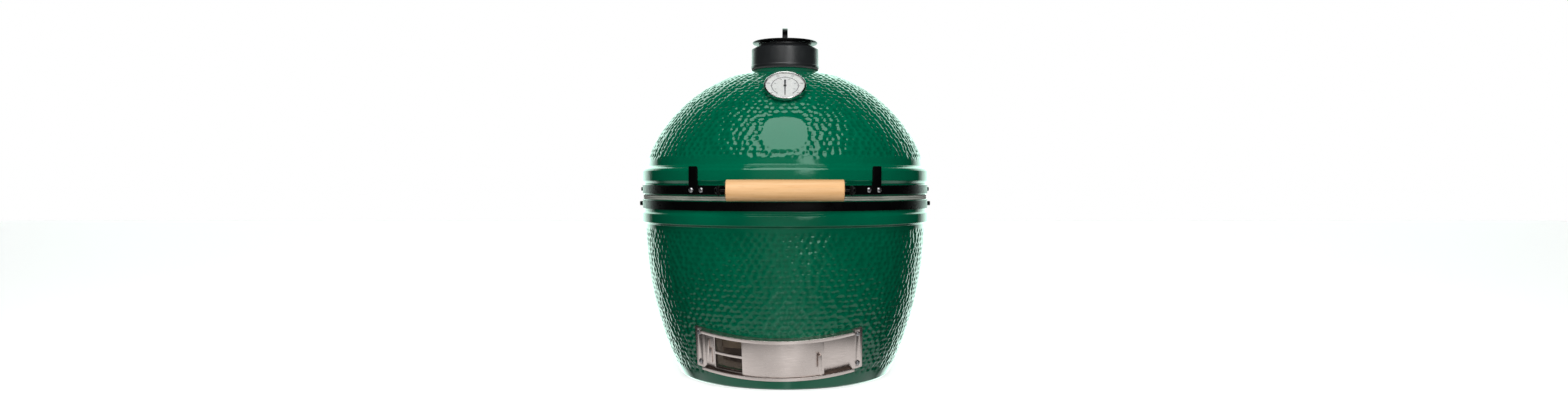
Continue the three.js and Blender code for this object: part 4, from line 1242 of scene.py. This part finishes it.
def softbox(name, place, target, size, radiance):
    """A soft area light whose brightness is the same whatever its size."""
    data = bpy.data.lights.new(name, "AREA")
    data.shape = "RECTANGLE"
    data.size, data.size_y = size
    data.energy = radiance * math.pi * size[0] * size[1]
    light = bpy.data.objects.new(name, data)
    light.location = place
    light.rotation_euler = (Vector(target) - Vector(place)).to_track_quat("-Z", "Y").to_euler()
    light.visible_camera = False
    bpy.context.scene.collection.objects.link(light)


def studio():
    """A dark room with a dim front wall, a bright strip in it and a bright back wall; white to the camera."""
    world = bpy.data.worlds.new("studio")
    world.use_nodes = True
    tree = world.node_tree
    background = tree.nodes["Background"]

    def plug(value, socket):
        if isinstance(value, bpy.types.NodeSocket):
            tree.links.new(value, socket)
        else:
            socket.default_value = value

    def graded(value, low, high, first, last):
        node = tree.nodes.new("ShaderNodeMapRange")
        node.interpolation_type = "SMOOTHSTEP"
        for socket, amount in zip(node.inputs, (value, low, high, first, last)):
            plug(amount, socket)
        return node.outputs[0]

    def maths(operation, *values):
        node = tree.nodes.new("ShaderNodeMath")
        node.operation = operation
        for socket, amount in zip(node.inputs, values):
            plug(amount, socket)
        return node.outputs[0]

    def chosen(factor, first, second):
        node = tree.nodes.new("ShaderNodeMix")
        for name, amount in (("Factor", factor), ("A", first), ("B", second)):
            plug(amount, node.inputs[name])
        return node.outputs[0]

    split = tree.nodes.new("ShaderNodeSeparateXYZ")
    tree.links.new(tree.nodes.new("ShaderNodeTexCoord").outputs["Generated"], split.inputs[0])
    x, y, z = split.outputs
    ray = tree.nodes.new("ShaderNodeLightPath").outputs
    azimuth = maths("MULTIPLY", maths("ARCTAN2", x, maths("MULTIPLY", y, -1.0)), 180 / math.pi)
    aside = maths("ABSOLUTE", azimuth)
    across = maths("ABSOLUTE", maths("SUBTRACT", azimuth, maths("MULTIPLY_ADD", z, STRIP_LEAN, STRIP_AT)))
    strip = maths("MULTIPLY", graded(across, *STRIP_WIDTH), maths(
        "ADD", maths("MULTIPLY", graded(z, *STRIP_HIGH), graded(z, *STRIP_TOP)), graded(z, *STRIP_LOW)))
    front = maths("MULTIPLY", graded(aside, *FRONT_WALL), graded(z, 0.1, 0.6, 1.0, 0.0))
    glow = maths("MULTIPLY", graded(z, *FLOOR_GLOW), graded(aside, *GLOW_ASIDE))
    mirror = front
    for light in (strip, graded(y, *BACK_WALL), glow):
        mirror = maths("ADD", mirror, light)
    fill = maths("ADD", graded(z, -1.0, 0.0, FILL_LOW, FILL_HIGH), graded(y, *FILL_FRONT))
    seen = chosen(ray["Is Camera Ray"], chosen(ray["Is Glossy Ray"], fill, mirror), 1.0)
    plug(seen, background.inputs["Strength"])
    tint = tree.nodes.new("ShaderNodeMix")
    tint.data_type = "RGBA"
    plug(maths("MULTIPLY", ray["Is Glossy Ray"], graded(y, *BACK_WALL[:2], 0.0, 1.0)), tint.inputs["Factor"])
    plug((1, 1, 1, 1), tint.inputs[6])
    plug(BACK_TINT, tint.inputs[7])
    plug(tint.outputs[2], background.inputs["Color"])
    bpy.context.scene.world = world
    softbox("key", (0, -1.45, 2.35), (0, -0.1, 0.6), (2.0, 1.9), 3.7)


def camera():
    """A level-standing camera: its distance and height in metres, and its slopes down and aside."""
    distance, height, lens_mm, down, aside = 2.41, 0.464, 22.44719, 0.0296615, 0.0010228
    data = bpy.data.cameras.new("camera")
    data.sensor_width = 36
    data.lens = lens_mm
    view = bpy.data.objects.new("camera", data)
    view.location = (0, -distance, height)
    view.rotation_euler = (math.pi / 2 - math.atan(down), 0, math.atan(aside))
    bpy.context.scene.collection.objects.link(view)
    bpy.context.scene.camera = view


stage()
studio()
camera()
bpy.context.scene.view_settings.view_transform = "Standard"
